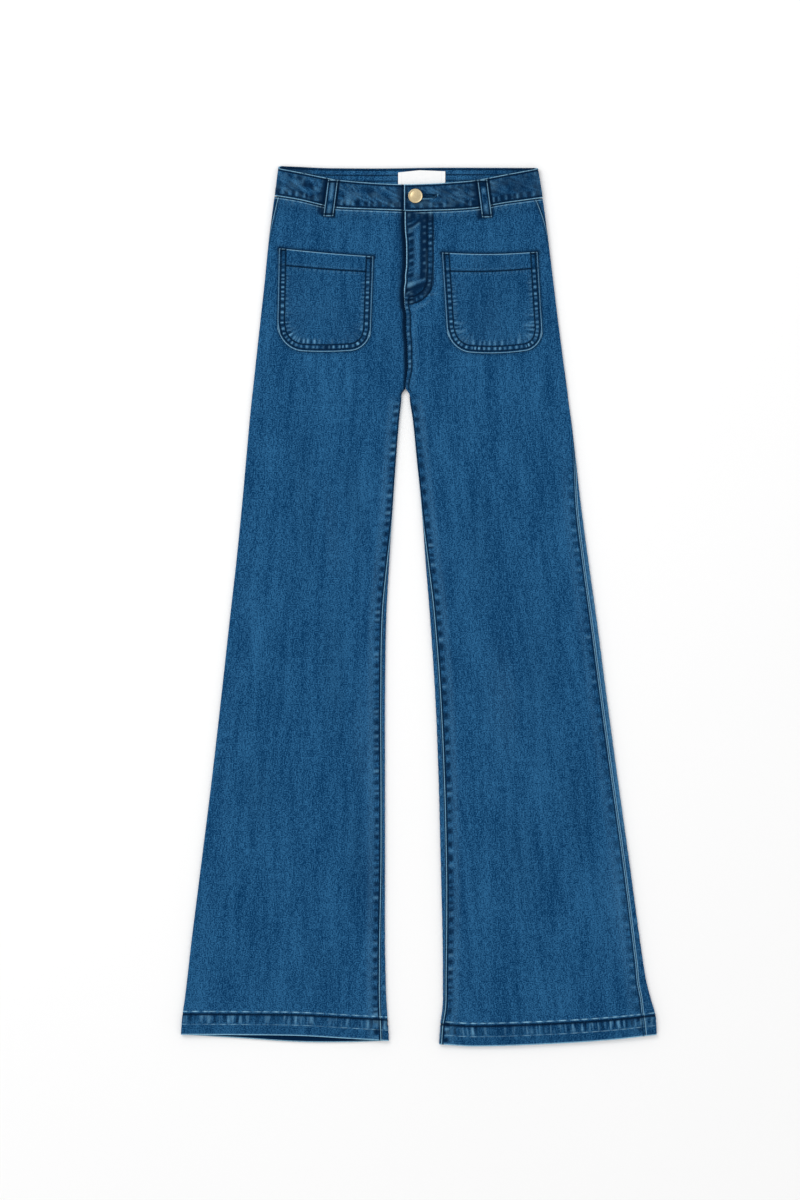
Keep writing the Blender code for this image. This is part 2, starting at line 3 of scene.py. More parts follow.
import bmesh
import bpy
import numpy as np
from mathutils import Matrix, Vector
from mathutils.bvhtree import BVHTree


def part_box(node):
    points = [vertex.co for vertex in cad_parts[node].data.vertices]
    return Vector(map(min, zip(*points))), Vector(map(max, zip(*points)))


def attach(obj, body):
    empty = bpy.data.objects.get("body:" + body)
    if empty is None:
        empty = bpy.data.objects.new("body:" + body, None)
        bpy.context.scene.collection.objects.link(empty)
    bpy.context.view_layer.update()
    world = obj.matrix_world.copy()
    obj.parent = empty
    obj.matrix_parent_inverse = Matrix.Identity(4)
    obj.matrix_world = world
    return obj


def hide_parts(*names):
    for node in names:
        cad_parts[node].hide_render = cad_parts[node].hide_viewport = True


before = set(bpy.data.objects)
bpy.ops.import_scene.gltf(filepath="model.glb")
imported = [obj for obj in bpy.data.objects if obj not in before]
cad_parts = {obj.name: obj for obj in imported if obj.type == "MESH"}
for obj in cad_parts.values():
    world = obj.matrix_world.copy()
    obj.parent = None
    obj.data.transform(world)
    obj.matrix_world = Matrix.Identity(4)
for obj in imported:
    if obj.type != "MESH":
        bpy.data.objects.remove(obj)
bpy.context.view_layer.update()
scene = bpy.context.scene
mm = 0.001

# A garment point is (across, down, height) in millimetres: across from the centre front, plus to the
# wearer's left, down from a line at the very top of the waist, height above the floor. The label's corner
# in the frame says where that is.
label = {"start": -9.1, "end": 49.8, "top": 7.1, "bottom": 30.0, "wall": 0.8, "fold": 4.5,
         "columns": 90, "rows": 34, "topEdge": ((-9.1, 9.9), (18.0, 7.1), (49.8, 8.4))}
labelLow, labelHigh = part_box("label")
garmentX = labelLow.x - label["start"] * mm
garmentY = labelHigh.y + label["top"] * mm

# how thick the cloth is and how high the layers lie, as in the frame
cloth = {
    "backCentre": -3.0, "seamGap": 0.3, "waistGap": 0.6, "crotchGap": 0.5, "crotchReach": 25.0,
    "wall": 1.2, "hemWall": 2.2, "hemDepth": 27.0, "bandWall": 1.8, "loopWall": 1.2,
    "pocketWall": 1.2, "pocketBandWall": 2.0, "pocketGap": 0.45, "pocketBand": 21.0,
}
lie = {
    "loopLift": 1.5, "liftEnds": (60.0, 165.0), "leg": 4.2, "edgeRise": 0.6, "edgeFade": 12.0,
    "waistEnd": 125.0, "hemRise": 0.8, "hemRamp": 2.5,
    "flyRise": 1.1, "flyEnd": (150.0, 190.0), "flyWidth": (36.0, 62.0),
    "centreReach": (38.0, 95.0),
    "front": {"side": 5.7, "right": 4.7, "left": 6.8},
    "band": {"side": 6.0, "right": 5.0, "left": 7.1},
}
crotch = 281.0
hem = 1090.0
waistRow = 40.0

# down, right side, right inside, left inside, left side
legOutline = (
    (1, -158.5, -0.15, 0.15, 165.0),
    (44, -164.0, -0.15, 0.15, 172.0),
    (94, -170.5, -0.15, 0.15, 178.5),
    (144, -175.5, -0.15, 0.15, 184.5),
    (194, -181.0, -0.15, 0.15, 190.5),
    (244, -186.5, -0.15, 0.15, 197.0),
    (281, -190.5, -0.3, 0.3, 202.0),
    (285, -191.0, -4.2, 4.6, 202.5),
    (294, -192.0, -5.2, 5.6, 203.5),
    (319, -194.5, -8.0, 9.5, 207.0),
    (369, -199.0, -12.0, 14.5, 213.0),
    (419, -203.5, -15.5, 19.5, 218.5),
    (494, -211.0, -20.0, 25.0, 228.5),
    (569, -219.5, -24.0, 31.0, 239.0),
    (669, -230.5, -25.5, 37.5, 252.0),
    (769, -242.0, -25.5, 41.5, 265.5),
    (869, -254.5, -25.5, 44.0, 279.5),
    (969, -267.0, -25.5, 46.5, 293.0),
    (1019, -272.5, -24.5, 46.8, 300.5),
    (1044, -275.5, -23.5, 46.5, 306.5),
    (1066, -278.5, -22.0, 43.5, 312.5),
    (1090, -280.5, -20.5, 42.0, 314.0),
)
edgeColumns = {"rightSide": 1, "rightInside": 2, "leftInside": 3, "leftSide": 4}

# how far each seam has turned onto the front, in the same columns
seamTurns = (
    (40, 6.0, 0.0, 0.0, 10.0),
    (65, 3.6, 0.0, 0.0, 4.5),
    (90, 1.2, 0.0, 0.0, 1.0),
    (115, 0.0, 0.0, 0.0, 0.0),
    (290, 0.0, 0.0, 0.0, 0.0),
    (340, 0.0, 0.0, 0.0, 1.5),
    (410, 0.0, 0.0, 0.4, 6.0),
    (440, 0.0, 0.5, 1.2, 7.5),
    (500, 0.0, 3.6, 4.4, 8.2),
    (560, 0.0, 6.0, 6.6, 8.5),
    (670, 0.0, 6.0, 7.6, 8.5),
    (870, 0.0, 5.8, 8.0, 8.6),
    (995, 0.0, 8.0, 5.0, 10.2),
    (1025, 0.0, 9.0, 4.7, 12.4),
    (1043, 0.0, 9.5, 4.5, 13.4),
    (1064, 0.0, 10.2, 4.3, 17.0),
    (1090, 0.0, 11.0, 4.0, 16.0),
)

# across, then down to the front's top, the front's seam, the back's top, the back's seam
waistLines = (
    (-165, 4.0, 39.0, 1.3, 38.5),
    (-132, 10.3, 44.5, 2.8, 37.5),
    (-103, 16.3, 51.3, 4.2, 37.0),
    (-85, 19.6, 54.3, 4.5, 37.0),
    (-38, 23.6, 56.3, 4.8, 37.0),
    (-4, 25.1, 57.6, 4.5, 37.0),
    (4, 25.4, 58.4, 4.3, 37.0),
    (34, 24.4, 57.8, 3.9, 37.0),
    (56, 23.0, 57.2, 3.8, 37.0),
    (88, 20.0, 54.7, 3.9, 37.0),
    (124, 13.2, 48.4, 4.0, 37.5),
    (143, 9.7, 45.8, 4.1, 38.0),
    (171, 4.6, 41.9, 4.1, 39.5),
)
frontTop, frontSeam, backTop, backSeam = 1, 2, 3, 4

# across, then down to the front hem and the back hem
hemLines = {
    "right": ((-280, 1086.5, 1086.5), (-207, 1086.9, 1091.0), (-132, 1087.9, 1095.7),
              (-69, 1091.5, 1096.0), (-21, 1094.2, 1094.2)),
    "left": ((43, 1098.5, 1098.5), (87, 1101.0, 1100.0), (181, 1098.0, 1097.0),
             (256, 1093.0, 1092.0), (314, 1086.5, 1086.5)),
}
waistFade = 150.0
hemFade = 900.0

# down and across of the fly's folded edge
centreFront = ((57, -1.2), (71, -0.6), (86, 0.5), (124, 0.6), (139, -0.8), (146, -0.7), (154, -1.9),
               (169, -2.1), (178, -1.4), (186, 0.2), (206, 0.4), (214, 0.9), (222, 1.9), (244, 2.3),
               (262, 2.6), (274, 1.8), (281, 0.0))

# the creases: side, start, end, bow, width, depth
creases = (
    ("right", (-139, 300), (-104, 545), 3, 17, -1.0),
    ("right", (-104, 500), (-70, 800), 4, 18, -1.1),
    ("right", (-74, 740), (-50, 985), 4, 16, -1.0),
    ("right", (-80, 345), (-52, 505), 3, 14, -0.9),
    ("right", (-121, 330), (-84, 560), 3, 16, 0.7),
    ("right", (-88, 560), (-50, 840), 4, 16, 0.8),
    ("right", (-186, 720), (-184, 850), 2, 15, -0.7),
    ("right", (-110, 960), (-95, 1040), 3, 22, -0.6),
    ("left", (88, 380), (96, 560), 3, 18, -0.6),
    ("left", (150, 480), (168, 800), 5, 22, -0.6),
    ("left", (112, 560), (128, 780), 4, 20, 0.7),
    ("left", (205, 700), (222, 900), 3, 20, -0.7),
    ("left", (128, 760), (150, 960), 4, 22, -0.6),
    ("left", (250, 820), (272, 1020), 3, 18, 0.6),
    ("left", (22, 172), (52, 128), 2, 8, 0.6),
    ("left", (14, 196), (62, 244), 4, 11, -0.5),
    ("right", (-16, 190), (-34, 262), 3, 12, -0.5),
)


# small helpers
def unit(value):
    return np.clip(value, 0.0, 1.0)


def ease(start, end, value):
    part = unit((value - start) / (end - start))
    return part * part * (3.0 - 2.0 * part)


def fade(start, end, value):
    return 1.0 - ease(start, end, value)


def span(value, start, full, low, end):
    # rises between the first two places and falls between the last two
    return ease(start, full, value) * fade(low, end, value)


def mix(first, second, part):
    return first + (second - first) * part


def readTable(table, column, at):
    # a smooth curve through the table's rows
    places = np.array([row[0] for row in table], float)
    values = np.array([row[column] for row in table], float)
    last = len(places) - 1
    before = np.maximum(np.arange(last + 1) - 1, 0)
    after = np.minimum(np.arange(last + 1) + 1, last)
    slopes = (values[after] - values[before]) / (places[after] - places[before])
    held = np.clip(at, places[0], places[-1])
    row = np.clip(np.searchsorted(places, held, side="right") - 1, 0, last - 1)
    length = places[row + 1] - places[row]
    part = (held - places[row]) / length
    return ((2 * part**3 - 3 * part**2 + 1) * values[row]
            + (part**3 - 2 * part**2 + part) * slopes[row] * length
            + (3 * part**2 - 2 * part**3) * values[row + 1]
            + (part**3 - part**2) * slopes[row + 1] * length)


def edgeAt(edge, down):
    return readTable(legOutline, edgeColumns[edge], down)


def turnAt(edge, down):
    return np.maximum(readTable(seamTurns, edgeColumns[edge], down), 0.0)


def waistAt(line, across):
    return readTable(waistLines, line, across)


latticeRows, latticeColumns, latticeShift = 97, 89, 300.0


def cellOf(across, down, cellAcross, cellDown):
    # a point's place on a lattice of cells of that size, and the cell that holds it
    x = across / cellAcross + latticeShift
    y = down / cellDown + latticeShift
    return x, y, np.floor(x).astype(int), np.floor(y).astype(int)


def softNoise(across, down, cellAcross, cellDown, seed):
    # smooth uneven values from -1 to 1
    values = np.random.default_rng(seed).uniform(-1.0, 1.0, (latticeRows, latticeColumns))
    x, y, column, row = cellOf(across, down, cellAcross, cellDown)
    levels = []
    for step in (0, 1):
        first = values[(row + step) % latticeRows, column % latticeColumns]
        second = values[(row + step) % latticeRows, (column + 1) % latticeColumns]
        levels.append(mix(first, second, ease(0.0, 1.0, x - column)))
    return mix(*levels, ease(0.0, 1.0, y - row))


def puckers(along, pitch, seed):
    # ridges (+1) and hollows (-1) along a seam, uneven in spacing and strength
    random = np.random.default_rng(seed)
    knots = np.cumsum(random.uniform(0.55, 1.45, 600) * pitch) - 40.0 * pitch
    phase = np.interp(along, knots, np.arange(len(knots)))
    strength = np.interp(along, knots, random.uniform(0.35, 1.0, len(knots)))
    return np.cos(2.0 * math.pi * phase) * strength


def stroke(distance, width):
    return np.exp(-((distance / width) ** 2))


def doubleRow(distance, first, second):
    # how far the nearer of two rows is, plus between them
    return np.where(distance < (first + second) / 2.0, distance - first, second - distance)


def alongLine(across, down, start, end):
    # a straight line's steps and length, and how far along it each point is, from 0 to 1 between its ends
    stepAcross = end[0] - start[0]
    stepDown = end[1] - start[1]
    length = math.hypot(stepAcross, stepDown)
    share = ((across - start[0]) * stepAcross + (down - start[1]) * stepDown) / length**2
    return stepAcross, stepDown, length, share


def nearLine(across, down, line):
    # distance from a drawn line to each point, and how far along the line it is
    best = np.full(np.shape(across), 1e9)
    along = np.zeros(np.shape(across))
    walked = 0.0
    for start, end in zip(line[:-1], line[1:]):
        stepAcross, stepDown, length, share = alongLine(across, down, start, end)
        share = unit(share)
        distance = np.hypot(across - start[0] - share * stepAcross, down - start[1] - share * stepDown)
        closer = distance < best
        best = np.where(closer, distance, best)
        along = np.where(closer, walked + share * length, along)
        walked += length
    return best, along


def insideOf(across, down, line):
    # how far a line that runs down the garment is beyond a point, towards the wearer's left
    places = np.array(sorted((row[1], row[0]) for row in line), float)
    return np.interp(down, places[:, 0], places[:, 1]) - across


# how high the front lies
def lift(down):
    return lie["loopLift"] * fade(*lie["liftEnds"], down)


def crotchTurn(down):
    return ease(crotch - 30.0, crotch, down)


def creaseRelief(side, across, down):
    total = np.zeros(np.broadcast(across, down).shape)
    for name, start, end, bow, width, depth in creases:
        if name == side:
            stepAcross, stepDown, length, share = alongLine(across, down, start, end)
            swing = np.sin(math.pi * unit(share))
            aside = ((across - start[0]) * stepDown - (down - start[1]) * stepAcross) / length
            inside = (share > 0.0) & (share < 1.0)
            total += np.where(inside, depth * swing**2 * stroke(aside - bow * swing, width), 0.0)
    return total


def softRelief(across, down):
    # the cloth never lies quite flat: low swells along the legs
    return 0.20 * softNoise(across, down, 26.0, 85.0, 11) + 0.10 * softNoise(across, down, 11.0, 38.0, 12)


def centreMix(levels, side, across):
    return mix(levels[side], levels["side"], ease(*lie["centreReach"], np.abs(across)))


def frontHeight(side, across, down):
    toSide = np.abs(edgeAt(side + "Side", down) - across)
    toInside = np.abs(edgeAt(side + "Inside", down) - across)
    hemTop = hem - cloth["hemDepth"]
    height = lie["leg"] + lie["edgeRise"] * stroke(toSide, lie["edgeFade"])
    height = height + lie["edgeRise"] * crotchTurn(down) * stroke(toInside, lie["edgeFade"])
    height = height + lie["hemRise"] * ease(hemTop - lie["hemRamp"], hemTop, down)
    if side == "left":
        height = height + lie["flyRise"] * fade(*lie["flyEnd"], down) * fade(*lie["flyWidth"], across)
    height = height + creaseRelief(side, across, down) + softRelief(across, down)
    atWaist = fade(waistRow, lie["waistEnd"], down)
    return mix(height, centreMix(lie["front"], side, across), atWaist) + lift(down)


def bandHeight(side, across):
    return centreMix(lie["band"], side, across) + lie["loopLift"]


def foldedEdge(side, edge, down, step):
    # a point near a folded edge, step is along the cloth from the middle of the fold, plus is on top
    place = edgeAt(edge, down)
    turn = np.ones(np.shape(down))
    if edge.endswith("Inside"):
        turn = crotchTurn(down)
        centre = np.where(step > 0.0, readTable(centreFront, 1, down), cloth["backCentre"])
        place = place + centre * (1.0 - turn)
    inwards = 1.0 if edge in ("rightSide", "leftInside") else -1.0
    bottom = lift(down)
    radius = (frontHeight(side, place + inwards * cloth["wall"], down) - bottom) / 2.0
    angle = np.clip(step / radius, -math.pi / 2.0, math.pi / 2.0)
    beyond = np.maximum(np.abs(step) - radius * math.pi / 2.0, 0.0)
    reach = mix(np.abs(step), radius * (1.0 - np.cos(angle)) + beyond, turn)
    across = place + inwards * reach
    top = frontHeight(side, across, down)
    onTop = mix(top, top - radius * (1.0 - np.sin(angle)), turn)
    underneath = bottom + radius * (1.0 + np.sin(angle)) * turn
    return across, np.where(step > 0.0, onTop, underneath)


def besideSeam(side, edge, down, offset):
    # a point beside a seam, plus is on the front, where the cloth lies flat for a little way
    turned = turnAt(edge, down)
    if edge.endswith("Inside"):
        room = cloth["crotchGap"] * stroke(down - crotch, cloth["crotchReach"])
        offset = offset + np.copysign(room, offset)
    way = np.copysign(0.05, offset)
    seamAcross, seamHeight = foldedEdge(side, edge, down, turned + way * 0.01)
    nextAcross, nextHeight = foldedEdge(side, edge, down, turned + way)
    stepAcross = nextAcross - seamAcross
    stepHeight = nextHeight - seamHeight
    scale = np.abs(offset) / np.hypot(stepAcross, stepHeight)
    return seamAcross + stepAcross * scale, seamHeight + stepHeight * scale


def followEdges(side, across, down, under):
    # moves a panel's even rows so that they follow its waist and its hem, under is 0 on the front and 1 below
    atWaist = fade(waistRow, waistFade, down)
    atHem = ease(hemFade, hem, down)
    waist = mix(waistAt(frontSeam, across), waistAt(backSeam, across), under)
    foot = mix(readTable(hemLines[side], 1, across), readTable(hemLines[side], 2, across), under)
    return down + (waist + cloth["waistGap"] - waistRow) * atWaist + (foot - hem) * atHem


# making cloth
def deselectAll():
    for thing in bpy.context.selected_objects:
        thing.select_set(False)


def applyModifiers(piece):
    deselectAll()
    piece.select_set(True)
    bpy.context.view_layer.objects.active = piece
    for modifier in list(piece.modifiers):
        bpy.ops.object.modifier_apply(modifier=modifier.name)


def roundEdges(piece, width, segments, degrees=None):
    rounding = piece.modifiers.new("rounding", "BEVEL")
    rounding.width = width * mm
    rounding.segments = segments
    if degrees:
        rounding.limit_method = "ANGLE"
        rounding.angle_limit = math.radians(degrees)
    applyModifiers(piece)


def pickFaces(piece, wanted):
    # in edit mode, selects the faces that wanted says
    bpy.ops.mesh.select_all(action="DESELECT")
    shape = bmesh.from_edit_mesh(piece.data)
    for face in shape.faces:
        face.select_set(wanted(face))
    shape.select_flush_mode()
    bmesh.update_edit_mesh(piece.data)


def pushOut(points, relief):
    # moves a grid of points along its own normals, relief in millimetres, plus is outwards
    normals = np.cross(np.gradient(points, axis=1), np.gradient(points, axis=0))
    normals /= np.linalg.norm(normals, axis=2, keepdims=True)
    return points + normals * relief[:, :, None]


nowhere = 50.0  # a line's distance where it isn't drawn


def drawLine(lines, name, distance, strength, width=1.0, region=None):
    # adds a line to one of the piece's sets, distance is plus on the side away from the edge
    if region is not None:
        distance = np.where(region, distance, nowhere)
        strength = strength * region
    distance = distance / width + 0.0 * strength
    strength = strength + 0.0 * distance
    if name in lines:
        oldDistance, oldStrength = lines[name]
        closer = distance < oldDistance
        strength = np.where(closer, strength, oldStrength)
        distance = np.where(closer, distance, oldDistance)
    lines[name] = (distance, strength)


def addLook(look, extra, strength=1.0):
    # a look is (relief, wear, deep)
    return [total + part * strength for total, part in zip(look, extra)]


def stackPoints(across, down, height):
    across, down, height = np.broadcast_arrays(across, down, height)
    return np.stack((across, -down, height), axis=2).astype(float)


def grainOf(across, down, shift=0.0):
    # the cloth's own directions, the shift keeps the pieces' patterns apart
    return np.stack(np.broadcast_arrays(across, down), axis=2) + (shift, 0.0)


def clothGrid(name, points, grain, wearAndPaintedLight, deep, lines):
    # a grid laid on garment points: rows run up the garment, columns to the wearer's left
    rows, columns = points.shape[:2]
    deselectAll()
    bpy.ops.mesh.primitive_grid_add(x_subdivisions=columns - 1, y_subdivisions=rows - 1, size=2.0)
    piece = bpy.context.object
    piece.name = name
    mesh = piece.data
    mesh.name = name
    flat = np.zeros(len(mesh.vertices) * 3)
    mesh.vertices.foreach_get("co", flat)
    flat = flat.reshape(-1, 3)
    column = np.rint((flat[:, 0] + 1.0) / 2.0 * (columns - 1)).astype(int)
    row = np.rint((flat[:, 1] + 1.0) / 2.0 * (rows - 1)).astype(int)
    placed = points[row, column] * mm + (garmentX, garmentY, 0.0)
    mesh.vertices.foreach_set("co", placed.ravel())
    corners = np.zeros(len(mesh.loops), int)
    mesh.loops.foreach_get("vertex_index", corners)
    sheet = mesh.uv_layers.active
    sheet.name = "grain"
    sheet.data.foreach_set("uv", (grain[row, column][corners] * mm).ravel())
    layers = {"wearAndPaintedLight": unit(wearAndPaintedLight), "deep": unit(deep)}
    for word, (distance, strength) in lines.items():
        layers[word] = np.clip(distance, -nowhere, nowhere)
        layers[word + "Strength"] = unit(strength)
    for word, values in layers.items():
        attribute = mesh.attributes.new(word, "FLOAT", "POINT")
        attribute.data.foreach_set("value", np.broadcast_to(values, points.shape[:2])[row, column])
    mesh.update()
    return piece, row


def growWall(piece, wall, thickVertices, thickWall, edgeRound):
    # the wall grows inwards from the outer face, and its cut edges are rounded
    solid = piece.modifiers.new("wall", "SOLIDIFY")
    solid.offset = -1.0
    solid.use_even_offset = True
    solid.thickness = wall * mm
    if thickWall:
        group = piece.vertex_groups.new(name="thick")
        group.add(thickVertices, 1.0, "REPLACE")
        solid.thickness = thickWall * mm
        solid.vertex_group = "thick"
        solid.thickness_vertex_group = wall / thickWall
    roundEdges(piece, edgeRound, 2, 55)
    bpy.ops.object.shade_smooth_by_angle(angle=math.radians(50))


def makeCloth(name, node, points, grain, colours, wall, thick=None, thickWall=None,
              edgeRound=0.35, finishShape=None):
    # points is the grid that the piece is laid on, which gives the size of its cut, thick its thick rows
    piece, row = clothGrid(name, points, grain, *colours)
    thickVertices = np.flatnonzero(thick[row]).tolist() if thickWall else None
    growWall(piece, wall, thickVertices, thickWall, edgeRound)
    if finishShape:
        finishShape(piece)
    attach(piece, "root")
    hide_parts(node)
    return piece


# relief and colour that hems leave in washed cloth, down to the row of stitches and below it
hemLook = {"right": 1064.0, "left": 1065.4, "mark": 12.7, "rib": 5.8, "dash": 12.0}
midLeg = 700.0


def hemDetail(side, across, down, seed, lines):
    stitch = hemLook[side]
    mark = stitch + hemLook["mark"]
    crest = puckers(across + 0.5 * (down - stitch), hemLook["rib"], seed)
    dashes = unit(puckers(across, hemLook["dash"], seed + 1) + 0.6)
    below = down > midLeg
    patchy = np.clip(0.7 + 0.8 * softNoise(across, down, 26.0, 30.0, seed + 2), 0.3, 1.0)
    ribs = span(down, stitch, stitch + 2.0, mark - 4.0, mark + 0.5)
    paleDashes = 0.06 + 0.82 * dashes**1.5 * (0.45 + 0.55 * patchy)
    drawLine(lines, "rowB", stitch - down, 1.0 * below, 1.6)
    drawLine(lines, "edgeB", stitch - 3.4 - down, paleDashes * below, 1.25)
    drawLine(lines, "edgeC", mark - down, (0.05 + 0.42 * dashes * patchy) * below)
    drawLine(lines, "ribs", 0.0 * down, patchy * ribs * below)
    drawLine(lines, "edgeD", hem - 0.6 - down, 0.85, region=below)
    relief = 0.2 * crest * ribs - 0.3 * stroke(down - stitch, 1.15) + 0.1 * stroke(down - mark, 1.0)
    wearAndPaintedLight = 0.2 * stroke(down - hem + 0.6, 1.0)
    deep = 0.06 * ribs + 0.25 * stroke(down - stitch - 1.0, 1.6) * below
    deep += 0.18 * ease(stitch, stitch + 1.0, down)
    return relief, wearAndPaintedLight, deep


def seamDetail(distance, along, pitch, seed):
    # the ridge beside a felled seam, and the notches that its sewing leaves
    crest = puckers(along, pitch, seed)
    field = span(distance, 2.8, 4.0, 6.5, 11.5)
    relief = 0.28 * fade(3.0, 4.8, distance) - 0.12 * stroke(distance - 2.2, 0.85) + 0.26 * crest * field
    wearAndPaintedLight = 0.4 * unit(crest) ** 3 * field + 0.07 * stroke(distance - 13.0, 4.0)
    deep = 0.9 * ease(0.35, -0.45, crest) * field
    return relief, wearAndPaintedLight, deep


def onSide(pieces, side):
    return [piece for piece in pieces if piece["side"] == side][0]


# patch pockets: "In" is the side by the centre front, "Out" the other, "bow" and "rise" bend the bottom
pockets = [
    {"name": "pocketRight", "node": "pocket_right", "side": "right", "seed": 40,
     "topIn": -40.0, "topOut": -157.8, "topInDown": 115.2, "topOutDown": 105.0, "sag": 0.7,
     "lowIn": -44.0, "lowOut": -160.5, "lowDown": 230.5, "cornerIn": 24.0, "cornerOut": 32.0,
     "bow": 3.5, "rise": 0.0, "bandIn": -2.4, "bandOut": -1.2, "fans": 0.3, "darkMiddle": 1.0},
    {"name": "pocketLeft", "node": "pocket_left", "side": "left", "seed": 50,
     "topIn": 45.6, "topOut": 164.8, "topInDown": 110.4, "topOutDown": 109.4, "sag": 2.3,
     "lowIn": 53.5, "lowOut": 172.5, "lowDown": 232.0, "cornerIn": 27.0, "cornerOut": 23.0,
     "bow": 4.5, "rise": 2.8, "bandIn": 1.0, "bandOut": -1.8, "fans": 1.0, "darkMiddle": 0.0},
]
pocketLook = {"columns": 116, "bodyRows": 106, "bandRows": 20, "outerRow": 2.9, "innerRow": 8.7, "block": 6.4}


def pocketTop(pocket, share):
    return mix(pocket["topInDown"], pocket["topOutDown"], share) + pocket["sag"] * np.sin(math.pi * share)


def pocketBandDepth(pocket, share):
    return cloth["pocketBand"] + mix(pocket["bandIn"], pocket["bandOut"], share)


def pocketSides(pocket, along):
    first = mix(pocket["topIn"], pocket["lowIn"], along)
    return first, mix(pocket["topOut"], pocket["lowOut"], along)


def pocketPlan(pocket):
    # where the pocket's grid of points lies, and how far each is below its top edge
    even = np.linspace(0.0, 1.0, pocketLook["columns"])[None, :]
    share = 0.55 * even + 0.45 * (0.5 - 0.5 * np.cos(math.pi * even))
    outwards = share if pocket["side"] == "left" else 1.0 - share
    top = pocketTop(pocket, outwards)
    band = top + pocketBandDepth(pocket, outwards)
    corner = np.where(outwards > 0.5, pocket["cornerOut"], pocket["cornerIn"])
    width = abs(pocket["lowOut"] - pocket["lowIn"])
    fromCorner = np.clip(corner - width * np.minimum(share, 1.0 - share), 0.0, corner)
    bottom = pocket["lowDown"] - corner + np.sqrt(corner**2 - fromCorner**2)
    bottom = bottom + pocket["bow"] * np.sin(math.pi * share) - pocket["rise"] * outwards**2
    body = mix(bottom, band + 1.2, np.linspace(0.0, 1.0, pocketLook["bodyRows"])[:, None])
    high = mix(band, top, np.linspace(0.0, 1.0, pocketLook["bandRows"])[:, None])
    down = np.concatenate((body, high))
    first, last = pocketSides(pocket, (down - top) / (pocket["lowDown"] - top))
    return mix(first, last, outwards), down, down - top


def pocketEdge(across, down, every):
    # the sewn edge from one top corner round the bottom to the other
    sideRows = np.arange(len(down) - 1, 0, -every)
    otherRows = np.arange(0, len(down), every)
    bottom = np.arange(0, across.shape[1], every)
    places = [(across[row, 0], down[row, 0]) for row in sideRows]
    places += [(across[0, column], down[0, column]) for column in bottom]
    places += [(across[row, -1], down[row, -1]) for row in otherRows]
    places.append((across[-1, -1], down[-1, -1]))
    kept = [places[0]]
    for place in places[1:]:
        if math.dist(place, kept[-1]) > 0.5:
            kept.append(place)
    return kept


for pocket in pockets:
    planAcross, planDown, planBelow = pocketPlan(pocket)
    pocket["plan"] = (planAcross, planDown, planBelow)
    pocket["edge"] = pocketEdge(planAcross, planDown, 5)
    pocket["top"] = [(planAcross[-1, column], planDown[-1, column]) for column in (0, 20, 38, 58, 77, 95, -1)]


def pocketFans(pocket, across, down, below, edge, along, share):
    # puckers that fan out from the bottom corners and the outer side, and small ticks along the rows
    seed = pocket["seed"]
    uneven = 3.0 * softNoise(across, down, 14.0, 14.0, seed + 6)
    byCorner = stroke(np.hypot((np.minimum(share, 1.0 - share) - 0.12) * 120.0, below - 100.0), 17.0)
    bySide = stroke(below - 88.0, 14.0) * (share > 0.5) * stroke(edge - 12.0, 5.0)
    fans = puckers(along + uneven, 10.5, seed + 5) * byCorner * span(edge, 9.0, 10.5, 18.0, 27.0)
    fans = (fans + puckers(along, 5.6, seed + 7) * bySide) * pocket["fans"]
    ticks = puckers(along, 4.6, seed + 8) * span(edge, 9.2, 10.2, 11.5, 15.0)
    return fans + 0.75 * ticks * span(below, 26.0, 34.0, 96.0, 104.0)


